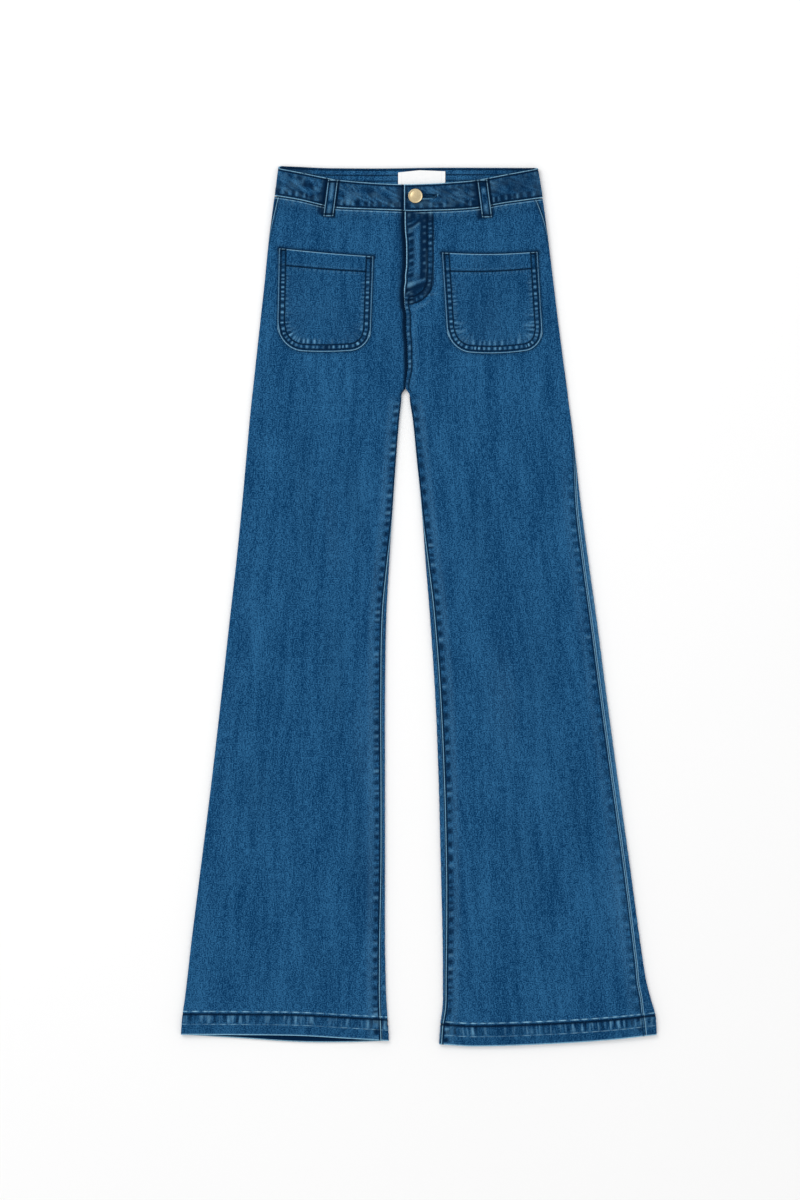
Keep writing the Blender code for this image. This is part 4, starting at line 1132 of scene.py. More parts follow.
def bandDetail(across, down, along, fromTop, fromSeam, lines):
    zone = np.repeat([row[0] for row in band["zones"]], [row[-1] for row in band["zones"]])[None, :]
    inside = zone == "back"
    onFront = zone == "front"
    leftFront = onFront & (along < along.max() / 2.0)
    rightFront = onFront & (along > along.max() / 2.0)
    # slanting crumples, calmer at the wearer's left
    calm = ease(100.0, 125.0, across) * onFront
    bent = along + 3.5 * softNoise(along, fromTop, 12.0, 9.0, 82)
    slanting = (0.87 * bent + 0.5 * fromTop, 0.87 * fromTop - 0.5 * bent)
    steeper = (0.8 * bent + 0.6 * fromTop, 0.8 * fromTop - 0.6 * bent)
    ridge = crumple(*slanting, 15.0, 6.0, 81)
    patchy = unit(1.5 * softNoise(along, fromTop, 10.0, 9.0, 83)) * (1.0 - 0.6 * calm)
    crest = stroke(ridge, 0.9) * patchy
    hollow = unit(1.3 * softNoise(*steeper, 9.0, 5.0, 88)) * (1.0 - stroke(ridge, 1.2) * patchy)
    hollow = hollow * (1.0 - 0.4 * calm)
    streaks = softNoise(*slanting, 13.0, 2.4, 89) * (1.0 - 0.5 * calm)
    # the loops on it and the painted shade beside them, its ticks along both edges, and its rows of stitches
    lean = loopLook["tilt"] * unit(fromTop / 45.0)
    besides = [across - loop["across"] - np.sign(loop["across"]) * lean for loop in frontLoops]
    nearLoop = np.minimum(*np.abs(besides))
    shade = sum(loopShade(beside) for beside in besides) * onFront
    lowTicks = puckers(along, 8.5, 84)
    topTicks = puckers(along, 9.5, 85)
    bottomField = span(fromSeam, 2.8, 4.0, 8.0, 11.5)
    topField = span(fromTop, 2.6, 3.8, 5.5, 8.5)
    middle = ease(2.5, 6.0, fromTop) * ease(2.5, 6.0, fromSeam)
    fromEnd = along - along[:, :1]
    rows = np.minimum(fromTop - band["topRow"], fromSeam - band["lowRow"])
    rows = np.minimum(rows, fromEnd - band["endRow"])
    edges = np.minimum(np.minimum(fromTop, fromSeam), fromEnd) - 0.35
    worn = 0.74 + 0.2 * softNoise(along, down, 9.0, 30.0, 86)
    drawLine(lines, "rowA", rows, 0.95)
    drawLine(lines, "rowB", doubleRow(fromTop, *band["innerRows"]), 0.7 * inside)
    # painted black shadow lines beside the front loops
    drawLine(lines, "rowAndShadowC", nearLoop - loopLook["hollow"], 0.95, 1.2, region=onFront)
    drawLine(lines, "rowAndShadowD", fromTop - 0.6, 0.6, 0.8, region=inside)
    # a painted black shadow line on the right front beside the left end, which lies over it
    drawLine(lines, "rowAndShadowD", np.abs(across + 3.6), 1.0, 1.6, region=rightFront)
    drawLine(lines, "edgeA", edges, np.where(inside, 0.1, worn))
    relief = 0.3 * (crest - 0.6 * hollow) * middle + 0.2 * lowTicks * bottomField + 0.16 * topTicks * topField
    relief -= 0.2 * stroke(rows, 0.9)
    wearAndPaintedLight = 0.3 * unit(lowTicks) ** 3 * bottomField + 0.16 * unit(topTicks) ** 2 * topField
    wearAndPaintedLight += 0.1 * unit(softNoise(along, fromTop, 14.0, 8.0, 87)) * middle
    wearAndPaintedLight += (0.12 * unit(streaks - 0.1) + 0.1 * crest) * middle
    wearAndPaintedLight = wearAndPaintedLight * (1.0 - shade) + 0.5 * stroke(nearLine(across, down, band["mouth"])[0], 0.9) * leftFront
    byButton = stroke(np.hypot((across - button["across"]) / 1.15, down - button["down"]), 13.0)
    deep = 0.6 * hollow * middle + 0.7 * ease(0.2, -0.5, lowTicks) * bottomField + 0.36 + shade
    deep += (0.45 * unit(-streaks) - 0.3 * unit(streaks)) * middle
    # painted shade on the right front under the left end
    deep += 0.75 * stroke(across + 3.0, 6.0) * rightFront
    deep += (0.2 * ease(24.0, 44.0, across) + 0.5 * byButton) * onFront
    deep += 0.8 * stroke(down - button["down"], 1.8) * fade(36.0, 40.0, across) * leftFront
    # painted shadow on the back's inside towards the sides, where the front band's folds lie over it
    sideShadow = ease(112.0, 124.0, -across) + 0.7 * ease(118.0, 135.0, across)
    deepInside = 0.02 + 0.2 * hollow * middle + 0.2 * unit(-streaks) + 0.7 * sideShadow
    # nothing stands up under the loops and the lap, or at the seam
    sunk = np.minimum(relief, 0.0)
    relief = np.where(onFront & (nearLoop < 9.0), sunk, relief)
    relief = np.where(inside, 0.0, relief)
    relief = np.where(zone == "lap", sunk * 0.5, relief)
    relief = np.where(onFront & (np.abs(across) < 60.0), np.maximum(relief, 0.0), relief)
    relief = np.where(fromSeam < 0.8, np.minimum(relief, 0.0), relief)
    return relief, np.where(inside, 0.35 * wearAndPaintedLight, wearAndPaintedLight), np.where(inside, deepInside, deep)


def makeBand():
    points, across, down, along, fromTop, fromSeam = bandPlan()
    lines = {}
    relief, wearAndPaintedLight, deep = bandDetail(across, down, along, fromTop, fromSeam, lines)
    return makeCloth("bandCloth", "waistband", pushOut(points, relief), grainOf(along, fromTop, 2011.0),
                     (wearAndPaintedLight, deep, lines), cloth["bandWall"],
                     finishShape=cutButtonhole)


def cutButtonhole(piece):
    # through the upper layer only: a round end and a slot
    low = bandHeight("right", 0.0) + 0.15
    high = bandHeight("left", button["across"]) + 2.0
    tall = (high - low) * mm
    radius = button["shank"] + hole["clearance"]
    start = button["across"] + radius / 2.0
    middle = garmentX + (start + hole["end"]) / 2.0 * mm
    y = garmentY - button["down"] * mm
    z = (low + high) / 2.0 * mm
    deselectAll()
    bpy.ops.mesh.primitive_cylinder_add(vertices=32, radius=radius * mm, depth=tall,
                                        location=(garmentX + button["across"] * mm, y, z))
    tools = [bpy.context.object]
    deselectAll()
    bpy.ops.mesh.primitive_cube_add(size=1.0, location=(middle, y, z),
                                    scale=((hole["end"] - start) * mm, hole["width"] * mm, tall))
    tools.append(bpy.context.object)
    for tool in tools:
        cut = piece.modifiers.new("buttonhole", "BOOLEAN")
        cut.operation = "DIFFERENCE"
        cut.solver = "EXACT"
        cut.object = tool
    applyModifiers(piece)
    for tool in tools:
        bpy.data.objects.remove(tool)


# the belt loops
def loopEnds(loop):
    # how far down its top and its bottom are
    topLine, seamLine = (frontTop, frontSeam) if loop in frontLoops else (backTop, backSeam)
    top = waistAt(topLine, loop["across"]) + loopLook["start"]
    return top, waistAt(seamLine, loop["across"]) + loop["below"]


def loopDetail(across, fromTop, length, seed, lines):
    beside = np.abs(across)
    edge = loopLook["width"] / 2.0 - beside
    wave = softNoise(across, fromTop, 5.0, 7.0, seed)
    ends = np.minimum(fromTop, length - fromTop)
    relief = 0.22 * stroke(beside - 4.6, 1.3) + 0.2 * wave * ease(2.0, 5.0, ends)
    relief -= 0.25 * stroke(ends - 3.4, 0.8)
    wearAndPaintedLight = 0.3 * unit(0.35 + wave) * stroke(beside, 2.0)
    deep = 0.32 + 0.5 * unit(-wave) + 0.4 * fade(5.0, 11.0, ends)
    drawLine(lines, "rowA", edge - 2.3, 0.9, 0.85)
    drawLine(lines, "rowB", ends - 3.0, 0.95)
    drawLine(lines, "edgeA", np.minimum(edge, ends) - 0.7, 0.52)
    return relief, wearAndPaintedLight, deep


def makeLoop(loop):
    # the front ones lean and lie on the waistband, the back ones lie under it with their outside down
    onTop = loop in frontLoops
    top, bottom = loopEnds(loop)
    down = np.linspace(*((bottom, top) if onTop else (top, bottom)), loopLook["rows"])[:, None]
    aside = np.linspace(-0.5, 0.5, loopLook["columns"])[None, :] * loopLook["width"] + 0.0 * down
    down = down + 0.0 * aside
    across = loop["across"] + aside
    height = 0.0 * aside
    if onTop:
        across = across + math.copysign(loopLook["tilt"], loop["across"]) * (down - top) / (bottom - top)
        seam = waistAt(frontSeam, loop["across"])
        frontLevel = frontHeight(loop["side"], across, down)
        level = mix(bandHeight(loop["side"], across), frontLevel, ease(seam + 0.5, seam + 6.0, down))
        height = np.maximum(level, frontLevel) + loopLook["gap"] + cloth["loopWall"]
    lines = {}
    relief, wearAndPaintedLight, deep = loopDetail(aside, down - top, bottom - top, loop["seed"], lines)
    points = pushOut(stackPoints(across, down, height), np.clip(relief, -0.2, None if onTop else 0.0))
    return makeCloth(loop["name"], loop["node"], points, grainOf(aside, down, 2900.0 + loop["seed"] * 20.0),
                     (wearAndPaintedLight, deep, lines), cloth["loopWall"])


# what lies inside the front: fly shield, zip, label
shield = {"start": -14.0, "end": 34.0, "top": 60.0, "bottom": 158.0, "base": 1.5, "wall": 1.0,
          "columns": 26, "rows": 50, "shift": 3500.0}
zipTape = {"start": 3.2, "end": 27.0, "top": 62.0, "bottom": 150.0, "base": 2.8, "wall": 1.0,
           "columns": 22, "rows": 60, "shift": 3700.0,
           "tooth": (1.98, 0.75, 0.12), "pitch": 0.75, "teethAcross": 15.0, "aside": 0.35}


def stripLevel(strip, down):
    return lift(down) + strip["base"] + strip["wall"]


def stripPlan(strip):
    # the strip's points, its grain and how far its nearer edge is
    down = np.linspace(strip["bottom"], strip["top"], strip["rows"])[:, None]
    across = np.linspace(strip["start"], strip["end"], strip["columns"])[None, :] + 0.0 * down
    edge = np.minimum(across - strip["start"], strip["end"] - across)
    return stackPoints(across, down, stripLevel(strip, down)), grainOf(across, down, strip["shift"]), edge


def makeShield():
    points, grain, edge = stripPlan(shield)
    wearAndPaintedLight = 0.6 * stroke(edge - 0.4, 0.9)
    deep = 0.8 * stroke(edge - 2.4, 0.9)
    return makeCloth("flyShield", "fly_shield", pushOut(points, -0.12 * stroke(edge - 2.4, 1.2)), grain,
                     (wearAndPaintedLight, deep, {}), shield["wall"])


def makeZip():
    points, grain, edge = stripPlan(zipTape)
    tape = makeCloth("zipTape", "zip", pushOut(points, -0.1 * stroke(edge - 3.0, 1.0)), grain,
                     (0.0 * edge, 0.6 * stroke(edge - 3.0, 1.0), {}), zipTape["wall"])
    # one tooth is modelled and the rest are its copies, from one side and the other in turn
    deselectAll()
    bpy.ops.mesh.primitive_cube_add(size=1.0, scale=[size * mm for size in zipTape["tooth"]])
    tooth = bpy.context.object
    bpy.ops.object.transform_apply(location=False, rotation=False, scale=True)
    roundEdges(tooth, 0.05, 1)
    places = []
    for step, down in enumerate(np.arange(zipTape["top"] + 2.0, zipTape["bottom"] - 2.0, zipTape["pitch"])):
        across = zipTape["teethAcross"] + (zipTape["aside"] if step % 2 else -zipTape["aside"])
        height = stripLevel(zipTape, down) + zipTape["tooth"][2] * 0.45
        places.append(Matrix.Translation((garmentX + across * mm, garmentY - down * mm, height * mm)))
    teeth = stampCopies("zipTeeth", tooth, places)
    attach(teeth, "root")
    return tape, teeth


def stampCopies(name, model, places):
    # joins one copy of the model at each place into a mesh of its own
    source = model.data
    count = len(source.vertices)
    flat = np.zeros(count * 3)
    source.vertices.foreach_get("co", flat)
    flat = np.hstack((flat.reshape(-1, 3), np.ones((count, 1))))
    faces = [list(polygon.vertices) for polygon in source.polygons]
    corners = np.concatenate(faces)
    starts = np.cumsum([0] + [len(face) for face in faces[:-1]])
    moves = np.array([[list(line) for line in place] for place in places])
    spots = np.einsum("pij,vj->pvi", moves, flat)[:, :, :3].reshape(-1, 3)
    order = np.arange(len(places))[:, None]
    allCorners = (corners[None, :] + order * count).ravel()
    allStarts = (starts[None, :] + order * len(corners)).ravel()
    mesh = bpy.data.meshes.new(name)
    mesh.vertices.add(len(spots))
    mesh.vertices.foreach_set("co", spots.ravel())
    mesh.loops.add(len(allCorners))
    mesh.loops.foreach_set("vertex_index", allCorners)
    mesh.polygons.add(len(allStarts))
    mesh.polygons.foreach_set("loop_start", allStarts)
    mesh.update(calc_edges=True)
    mesh.validate()
    mesh.shade_smooth()
    piece = bpy.data.objects.new(name, mesh)
    scene.collection.objects.link(piece)
    bpy.data.objects.remove(model)
    return piece


def makeLabel():
    down = np.linspace(0.0, 1.0, label["rows"])[:, None]
    across = mix(label["start"], label["end"], np.linspace(0.0, 1.0, label["columns"])[None, :]) + 0.0 * down
    top = np.interp(across, *zip(*label["topEdge"]))
    down = mix(label["bottom"], top, down)
    # the folds at the label's ends are sunk and painted dark as shade in their creases
    fold = stroke(across - label["start"] - label["fold"], 0.5)
    fold += stroke(label["end"] - label["fold"] - across, 0.5)
    relief = -0.12 * fold - 0.12 * stroke(down - top - 1.8, 0.6)
    height = lie["loopLift"] + cloth["bandWall"] + cloth["seamGap"] + label["wall"]
    return makeCloth("waistLabel", "label", pushOut(stackPoints(across, down, height), relief),
                     grainOf(across, down), (0.0 * fold, fold, {}), label["wall"],
                     edgeRound=0.2)


def makeButton():
    # turned from a disc: rolled rim, hollow ring, low dome, and the shank below
    under = (bandHeight("left", button["across"]) + cloth["seamGap"]) * mm
    seat = (bandHeight("right", 0.0) + cloth["seamGap"]) * mm
    radius = button["radius"] * mm
    thick = button["thick"] * mm
    middle = (garmentX + button["across"] * mm, garmentY - button["down"] * mm, under + thick / 2.0)
    deselectAll()
    bpy.ops.mesh.primitive_cylinder_add(vertices=button["sides"], radius=radius, depth=thick, location=middle)
    piece = bpy.context.object
    piece.name = "shankButton"
    piece.data.name = "shankButton"
    bpy.ops.object.transform_apply(location=True, rotation=True, scale=True)
    bpy.ops.object.mode_set(mode="EDIT")
    bpy.context.tool_settings.mesh_select_mode = (False, False, True)
    pickFaces(piece, lambda face: face.normal.z > 0.9 and len(face.verts) == button["sides"])
    for width, raised in button["rings"]:
        bpy.ops.mesh.inset(thickness=width * mm, depth=0.0)
        bpy.ops.transform.translate(value=(0.0, 0.0, raised * mm))
    bpy.ops.mesh.poke()
    pickFaces(piece, lambda face: face.normal.z < -0.9 and len(face.verts) == button["sides"])
    bpy.ops.mesh.inset(thickness=radius - button["shank"] * mm, depth=0.0)
    bpy.ops.mesh.extrude_region_move(TRANSFORM_OT_translate={"value": (0.0, 0.0, seat - under)})
    bpy.ops.mesh.inset(thickness=0.6 * mm, depth=0.0)
    bpy.ops.mesh.poke()
    bpy.ops.object.mode_set(mode="OBJECT")
    roundEdges(piece, 0.45, 4, 60)
    bpy.ops.object.shade_smooth_by_angle(angle=math.radians(40))
    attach(piece, "root")
    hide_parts("button")
    return piece


print("laying the panels")
frontRight = makeFront("right")
frontLeft = makeFront("left")
backRight = makeBack("right")
backLeft = makeBack("left")
print("waistband, pockets and loops")
waistband = makeBand()
patches = [makePocket(pocket) for pocket in pockets]
loops = [makeLoop(loop) for loop in frontLoops + backLoops]
print("fly, label and button")
shieldPiece = makeShield()
zipPiece, zipTeeth = makeZip()
labelPiece = makeLabel()
buttonPiece = makeButton()


# sewing, in dark thread: one stitch is modelled and copied along every row
thread = {"length": 2.3, "width": 0.56, "pitch": 3.0, "tackPitch": 0.62, "holePitch": 0.8, "sunk": 0.06,
          "underSunk": 0.1}


def makeStitch():
    length = thread["length"] * mm
    deselectAll()
    bpy.ops.mesh.primitive_cylinder_add(vertices=6, radius=thread["width"] / 2.0 * mm, depth=length * 0.6,
                                        rotation=(0.0, math.radians(90.0), 0.0))
    stitch = bpy.context.object
    bpy.ops.object.transform_apply(location=True, rotation=True, scale=True)
    bpy.ops.object.mode_set(mode="EDIT")
    bpy.context.tool_settings.mesh_select_mode = (False, False, True)
    for end in (-1.0, 1.0):
        pickFaces(stitch, lambda face: face.normal.x * end > 0.9)
        reach = (end * length * 0.2, 0.0, -0.1 * mm)
        bpy.ops.mesh.extrude_region_move(TRANSFORM_OT_translate={"value": reach})
        bpy.ops.transform.resize(value=(1.0, 0.5, 0.5))
    bpy.ops.object.mode_set(mode="OBJECT")
    return stitch


def walk(path, pitch, start=None):
    # even places and directions along a path of (across, down) points
    path = np.array(path, float)
    lengths = np.concatenate(([0.0], np.cumsum(np.hypot(*np.diff(path, axis=0).T))))
    at = np.arange(pitch / 2.0 if start is None else start, lengths[-1] - pitch * 0.3, pitch)

    def read(shift):
        return np.array([np.interp(at + shift, lengths, path[:, column]) for column in (0, 1)])

    across, down = read(0.0)
    ahead, lower = read(0.5) - read(-0.5)
    return across, down, np.arctan2(-lower, ahead)


def sew(places, path, piece, covers=(), pitch=None, turn=0.0, size=1.0, start=None):
    # lays stitches on a piece along a path, but not where another piece covers it
    random = np.random.default_rng(len(places) + 5)
    below = places is lowPlaces
    toward = Vector((0.0, 0.0, 1.0 if below else -1.0))
    rise = thread["width"] / 2.0 - 0.12 - thread["sunk"] - (thread["underSunk"] if below else 0.0)
    for across, down, angle in zip(*walk(path, pitch or thread["pitch"], start)):
        origin = Vector((garmentX + across * mm, garmentY - down * mm, 0.0)) - toward * 0.05
        hit, normal, face, distance = trees[piece].ray_cast(origin, toward)
        if hit is None or abs(normal.z) < 0.35:
            continue
        overs = [trees[cover].ray_cast(origin, toward) for cover in covers]
        if any(over[0] is not None and over[3] < distance + 0.0001 for over in overs):
            continue
        yaw = angle + turn + random.uniform(-0.07, 0.07)
        lengthwise = Vector((math.cos(yaw), math.sin(yaw), 0.0))
        lengthwise = (lengthwise - normal * lengthwise.dot(normal)).normalized()
        stretch = size * random.uniform(0.93, 1.05)
        place = Matrix((lengthwise * stretch, normal.cross(lengthwise), normal)).transposed().to_4x4()
        place.translation = hit + normal * rise * mm
        places.append(place)


def tack(start, end, piece):
    # a bar tack: stitches close together, across its length
    sew(topPlaces, (start, end), piece, (), thread["tackPitch"], math.radians(90.0), 0.95, 0.1)


def insetPath(edge, distance):
    # a path beside the pocket's edge, distance inwards
    path = np.array(edge, float)
    ahead = np.gradient(path, axis=0)
    ahead /= np.linalg.norm(ahead, axis=1, keepdims=True)
    inwards = np.stack((-ahead[:, 1], ahead[:, 0]), axis=1)
    if np.sum(inwards * (path.mean(axis=0) - path)) < 0.0:
        inwards = -inwards
    return path + inwards * distance


def edgePath(side, edge, distance, start, end):
    down = np.arange(start, end, 4.0)[:, None]
    across = foldedEdge(side, edge, down, turnAt(edge, down) + distance)[0]
    return np.hstack((across, followEdges(side, across, down, 0.0)))


def levelPath(side, start, end, nominal, under):
    across = np.linspace(start, end, 60)[:, None]
    return np.hstack((across, followEdges(side, across, nominal + 0.0 * across, under)))


def linePath(line, start, end, offset):
    across = np.linspace(start, end, 90)
    return np.stack((across, waistAt(line, across) + offset), axis=1)


def sewLegs():
    for side, onFront, onBack in (("right", "frontRight", "backRight"), ("left", "frontLeft", "backLeft")):
        inner = side + "Inside"
        hemStart, hemEnd = sorted((edgeAt(inner, 1066.0), edgeAt(side + "Side", 1066.0)))
        hemPath = levelPath(side, hemStart, hemEnd, hemLook[side], 0.0)
        sew(topPlaces, hemPath, onFront)
        sew(topPlaces, hemPath, onBack, [onFront])
        sew(lowPlaces, levelPath(side, hemStart + 4.0, hemEnd - 4.0, hemLook[side], 1.0), onBack)
        sew(topPlaces, edgePath(side, inner, 2.2, 290.0, 1062.0), onFront)
    paths = [edgePath("left", "leftSide", 2.3, 345.0, 1062.0)]
    paths += [edgePath("left", "leftInside", row, 166.0, 282.0) for row in fly["crotchRows"]]
    paths += [fly["outerRow"], fly["innerRow"], edgePath("left", "leftInside", 2.2, 60.0, 162.0)]
    for path in paths:
        sew(topPlaces, path, "frontLeft")
    for row in back["centreRows"]:
        place = row + cloth["backCentre"]
        sew(lowPlaces, [(place, 44.0), (place, 235.0), (row + 0.5, 280.0)], "backLeft")


def sewBand():
    topRow, lowRow, endRow = band["topRow"], -band["lowRow"], band["endRow"] + 0.2
    backCovers = [loop["name"] for loop in backLoops]
    for places, path, covers in (
        (topPlaces, linePath(frontTop, 3.0, 166.0, topRow), ["loopFrontLeft"]),
        (topPlaces, linePath(frontSeam, 3.0, 168.0, lowRow), ["loopFrontLeft"]),
        (topPlaces, linePath(frontTop, -1.0, -152.0, topRow), ["loopFrontRight"]),
        (topPlaces, linePath(frontSeam, -1.0, -160.0, lowRow), ["loopFrontRight"]),
        (topPlaces, [(endRow, 29.0), (endRow, 54.5)], []),
        (lowPlaces, linePath(backTop, -158.0, 166.0, topRow), backCovers),
        (lowPlaces, linePath(backSeam, -160.0, 168.0, lowRow), backCovers),
        (topPlaces, linePath(backTop, -140.0, 150.0, band["innerRows"][0]), ["waistLabel"]),
    ):
        sew(places, path, "bandCloth", covers)


def sewPocket(pocket):
    name = pocket["name"]
    for distance in (pocketLook["outerRow"], pocketLook["innerRow"]):
        sew(topPlaces, insetPath(pocket["edge"], distance), name)
    start, end = sorted((pocket["topIn"], pocket["topOut"]))
    across = np.linspace(start + 9.5, end - 9.5, 20)
    share = (across - pocket["topIn"]) / (pocket["topOut"] - pocket["topIn"])
    down = pocketTop(pocket, share) + pocketBandDepth(pocket, share) + 0.6
    sew(topPlaces, np.stack((across, down), axis=1), name)
    for corner, way in ((start, 1.0), (end, -1.0)):
        level = (pocket["topInDown"] if corner == pocket["topIn"] else pocket["topOutDown"]) + 2.2
        tack((corner + way * 2.2, level), (corner + way * 9.6, level), name)


def sewLoop(loop):
    start, reach = loopEnds(loop)
    onTop = loop in frontLoops
    places = topPlaces if onTop else lowPlaces
    lean = math.copysign(loopLook["tilt"], loop["across"]) if onTop else 0.0
    for aside in (loop["across"] - loopLook["stitches"], loop["across"] + loopLook["stitches"]):
        sew(places, [(aside, start + 1.0), (aside + lean, reach - 1.0)], loop["name"])
    if onTop:
        for share, level in ((0.06, start + 2.6), (0.94, reach - 2.8)):
            middle = loop["across"] + lean * share
            tack((middle - 5.2, level), (middle + 5.2, level), loop["name"])


def sewButtonhole():
    radius = button["shank"] + hole["clearance"] + 1.2
    turns = np.radians(np.linspace(20.0, 340.0, 24))
    eye = radius * np.stack((np.cos(turns), np.sin(turns)), axis=1) + (button["across"], button["down"])
    paths = [eye]
    upper = button["down"] - hole["width"]
    lower = button["down"] + hole["width"]
    for level in (upper, lower):
        paths.append([(button["across"] + 4.0, level), (hole["end"] + 0.8, level)])
    for path in paths:
        sew(topPlaces, path, "bandCloth", (), thread["holePitch"], math.radians(90.0), 0.8, 0.2)
    tack((hole["end"] + 1.4, upper), (hole["end"] + 1.4, lower), "bandCloth")


print("sewing")
sewnOn = [frontRight, frontLeft, backRight, backLeft, waistband, labelPiece] + patches + loops
depsgraph = bpy.context.evaluated_depsgraph_get()
trees = {piece.name: BVHTree.FromObject(piece, depsgraph) for piece in sewnOn}
topPlaces, lowPlaces = [], []
sewLegs()
sewBand()
for pocket in pockets:
    sewPocket(pocket)
for loop in frontLoops + backLoops:
    sewLoop(loop)
sewButtonhole()
tack((3.0, 169.5), (10.5, 168.5), "frontLeft")  # where the fly's double row ends
stitchPieces = [stampCopies("stitchesTop", makeStitch(), topPlaces),
                stampCopies("stitchesBack", makeStitch(), lowPlaces)]
for stitches in stitchPieces:
    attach(stitches, "root")
    print(f"{stitches.name}: {len(stitches.data.polygons)} faces")


# finishes
def newFinish(name):
    finish = bpy.data.materials.new(name)
    finish.use_nodes = True
    return finish, finish.node_tree, finish.node_tree.nodes["Principled BSDF"]


def setSockets(tree, node, values):
    # each value is a plain one, or the output that feeds the socket
    for word, value in values.items():
        if isinstance(value, bpy.types.NodeSocket):
            tree.links.new(value, node.inputs[word])
        else:
            node.inputs[word].default_value = value


def addNode(tree, kind, values, **settings):
    node = tree.nodes.new("ShaderNode" + kind)
    for word, value in settings.items():
        setattr(node, word, value)
    setSockets(tree, node, values)
    return node


def patternOn(tree, uvMap, scale, turn=0.0):
    # places a pattern on the cloth's own grain, or on the object where there is none
    if uvMap:
        vector = addNode(tree, "UVMap", {}, uv_map=uvMap).outputs["UV"]
    else:
        vector = addNode(tree, "TexCoord", {}).outputs["Object"]
    mapping = addNode(tree, "Mapping", {"Scale": scale, "Rotation": (0.0, 0.0, turn), "Vector": vector})
    return mapping.outputs["Vector"]


def noise(tree, uvMap, scale, detail=1.0):
    vector = patternOn(tree, uvMap, scale)
    texture = addNode(tree, "TexNoise", {"Scale": 1.0, "Detail": detail, "Roughness": 0.5, "Vector": vector})
    return texture.outputs["Fac"]


def weave(tree, scale, distortion, detail, turn):
    vector = patternOn(tree, "grain", (1.0, 1.0, 1.0), math.radians(turn))
    wave = addNode(tree, "TexWave", {"Scale": scale, "Distortion": distortion, "Detail": detail,
                                     "Vector": vector})
    return wave.outputs["Fac"]


def arithmetic(tree, operation, *values, clamp=False):
    node = addNode(tree, "Math", dict(enumerate(values)), operation=operation, use_clamp=clamp)
    return node.outputs["Value"]


def blendColours(tree, part, first, second):
    return addNode(tree, "Mix", {"Factor": part, "A": first, "B": second}, data_type="RGBA").outputs["Result"]


def readAttribute(tree, name):
    return addNode(tree, "Attribute", {}, attribute_name=name).outputs["Fac"]


def addBump(tree, height, strength, distance):
    bump = addNode(tree, "Bump", {"Strength": strength, "Distance": distance, "Height": height})
    return bump.outputs["Normal"]


# the lines that seams draw on the cloth, and painted shadow lines beside the loops, the fly and the
# waistband's end, by the attributes that hold their distance and strength
paleLines = ["edgeA", "edgeB", "edgeC", "edgeD"]
darkLines = ["rowA", "rowB", "rowAndShadowC", "rowAndShadowD"]
denimLook = {
    "dark": (0.0009, 0.030, 0.095, 1.0), "light": (0.026, 0.129, 0.278, 1.0),
    "pale": (0.165, 0.40, 0.61, 1.0), "edge": (0.27, 0.53, 0.71, 1.0),
    # deep is the darkest indigo and also the colour of painted shade, thread the colour of stitches and of
    # painted shadow lines
    "deep": (0.0010, 0.012, 0.040, 1.0), "thread": (0.0008, 0.008, 0.026, 1.0),
    "paleWidth": 0.85, "darkWidth": 1.8,
    # scale and strength of each noise: slubs, speckles, streaks and mottles
    "noises": (((620.0, 130.0, 1.0), 0.45), ((680.0, 680.0, 1.0), 1.02), ((120.0, 16.0, 1.0), 0.24),
               ((26.0, 6.0, 1.0), 0.22)),
    "contrast": 3.2, "uneven": (620.0, 620.0, 1.0), "ribs": (190.0, 26.0, 1.0), "ribContrast": 4.5,
    "twillScale": 420.0, "sheenTint": (0.55, 0.68, 0.85, 1.0),
}


def clothTone(tree, contrast):
    # the washed cloth between its dark and light blue
    total = 0.0
    for scale, share in denimLook["noises"]:
        value = arithmetic(tree, "SUBTRACT", noise(tree, "grain", scale), 0.5)
        total = arithmetic(tree, "MULTIPLY_ADD", value, share * denimLook["contrast"] * contrast, total)
    total = arithmetic(tree, "ADD", total, 0.42, clamp=True)
    return blendColours(tree, total, denimLook["dark"], denimLook["light"])


def drawnLines(tree, colour, uneven):
    for word in paleLines + darkLines:
        width, line = ("paleWidth", "edge") if word in paleLines else ("darkWidth", "thread")
        strength = arithmetic(tree, "MULTIPLY", readAttribute(tree, word + "Strength"), uneven, clamp=True)
        distance = arithmetic(tree, "ABSOLUTE", readAttribute(tree, word))
        near = addNode(tree, "MapRange", {"From Min": denimLook[width], "From Max": 0.0, "Value": distance},
                       interpolation_type="SMOOTHSTEP").outputs["Result"]
        part = arithmetic(tree, "MULTIPLY", near, strength, clamp=True)
        colour = blendColours(tree, part, colour, denimLook[line])
    return colour


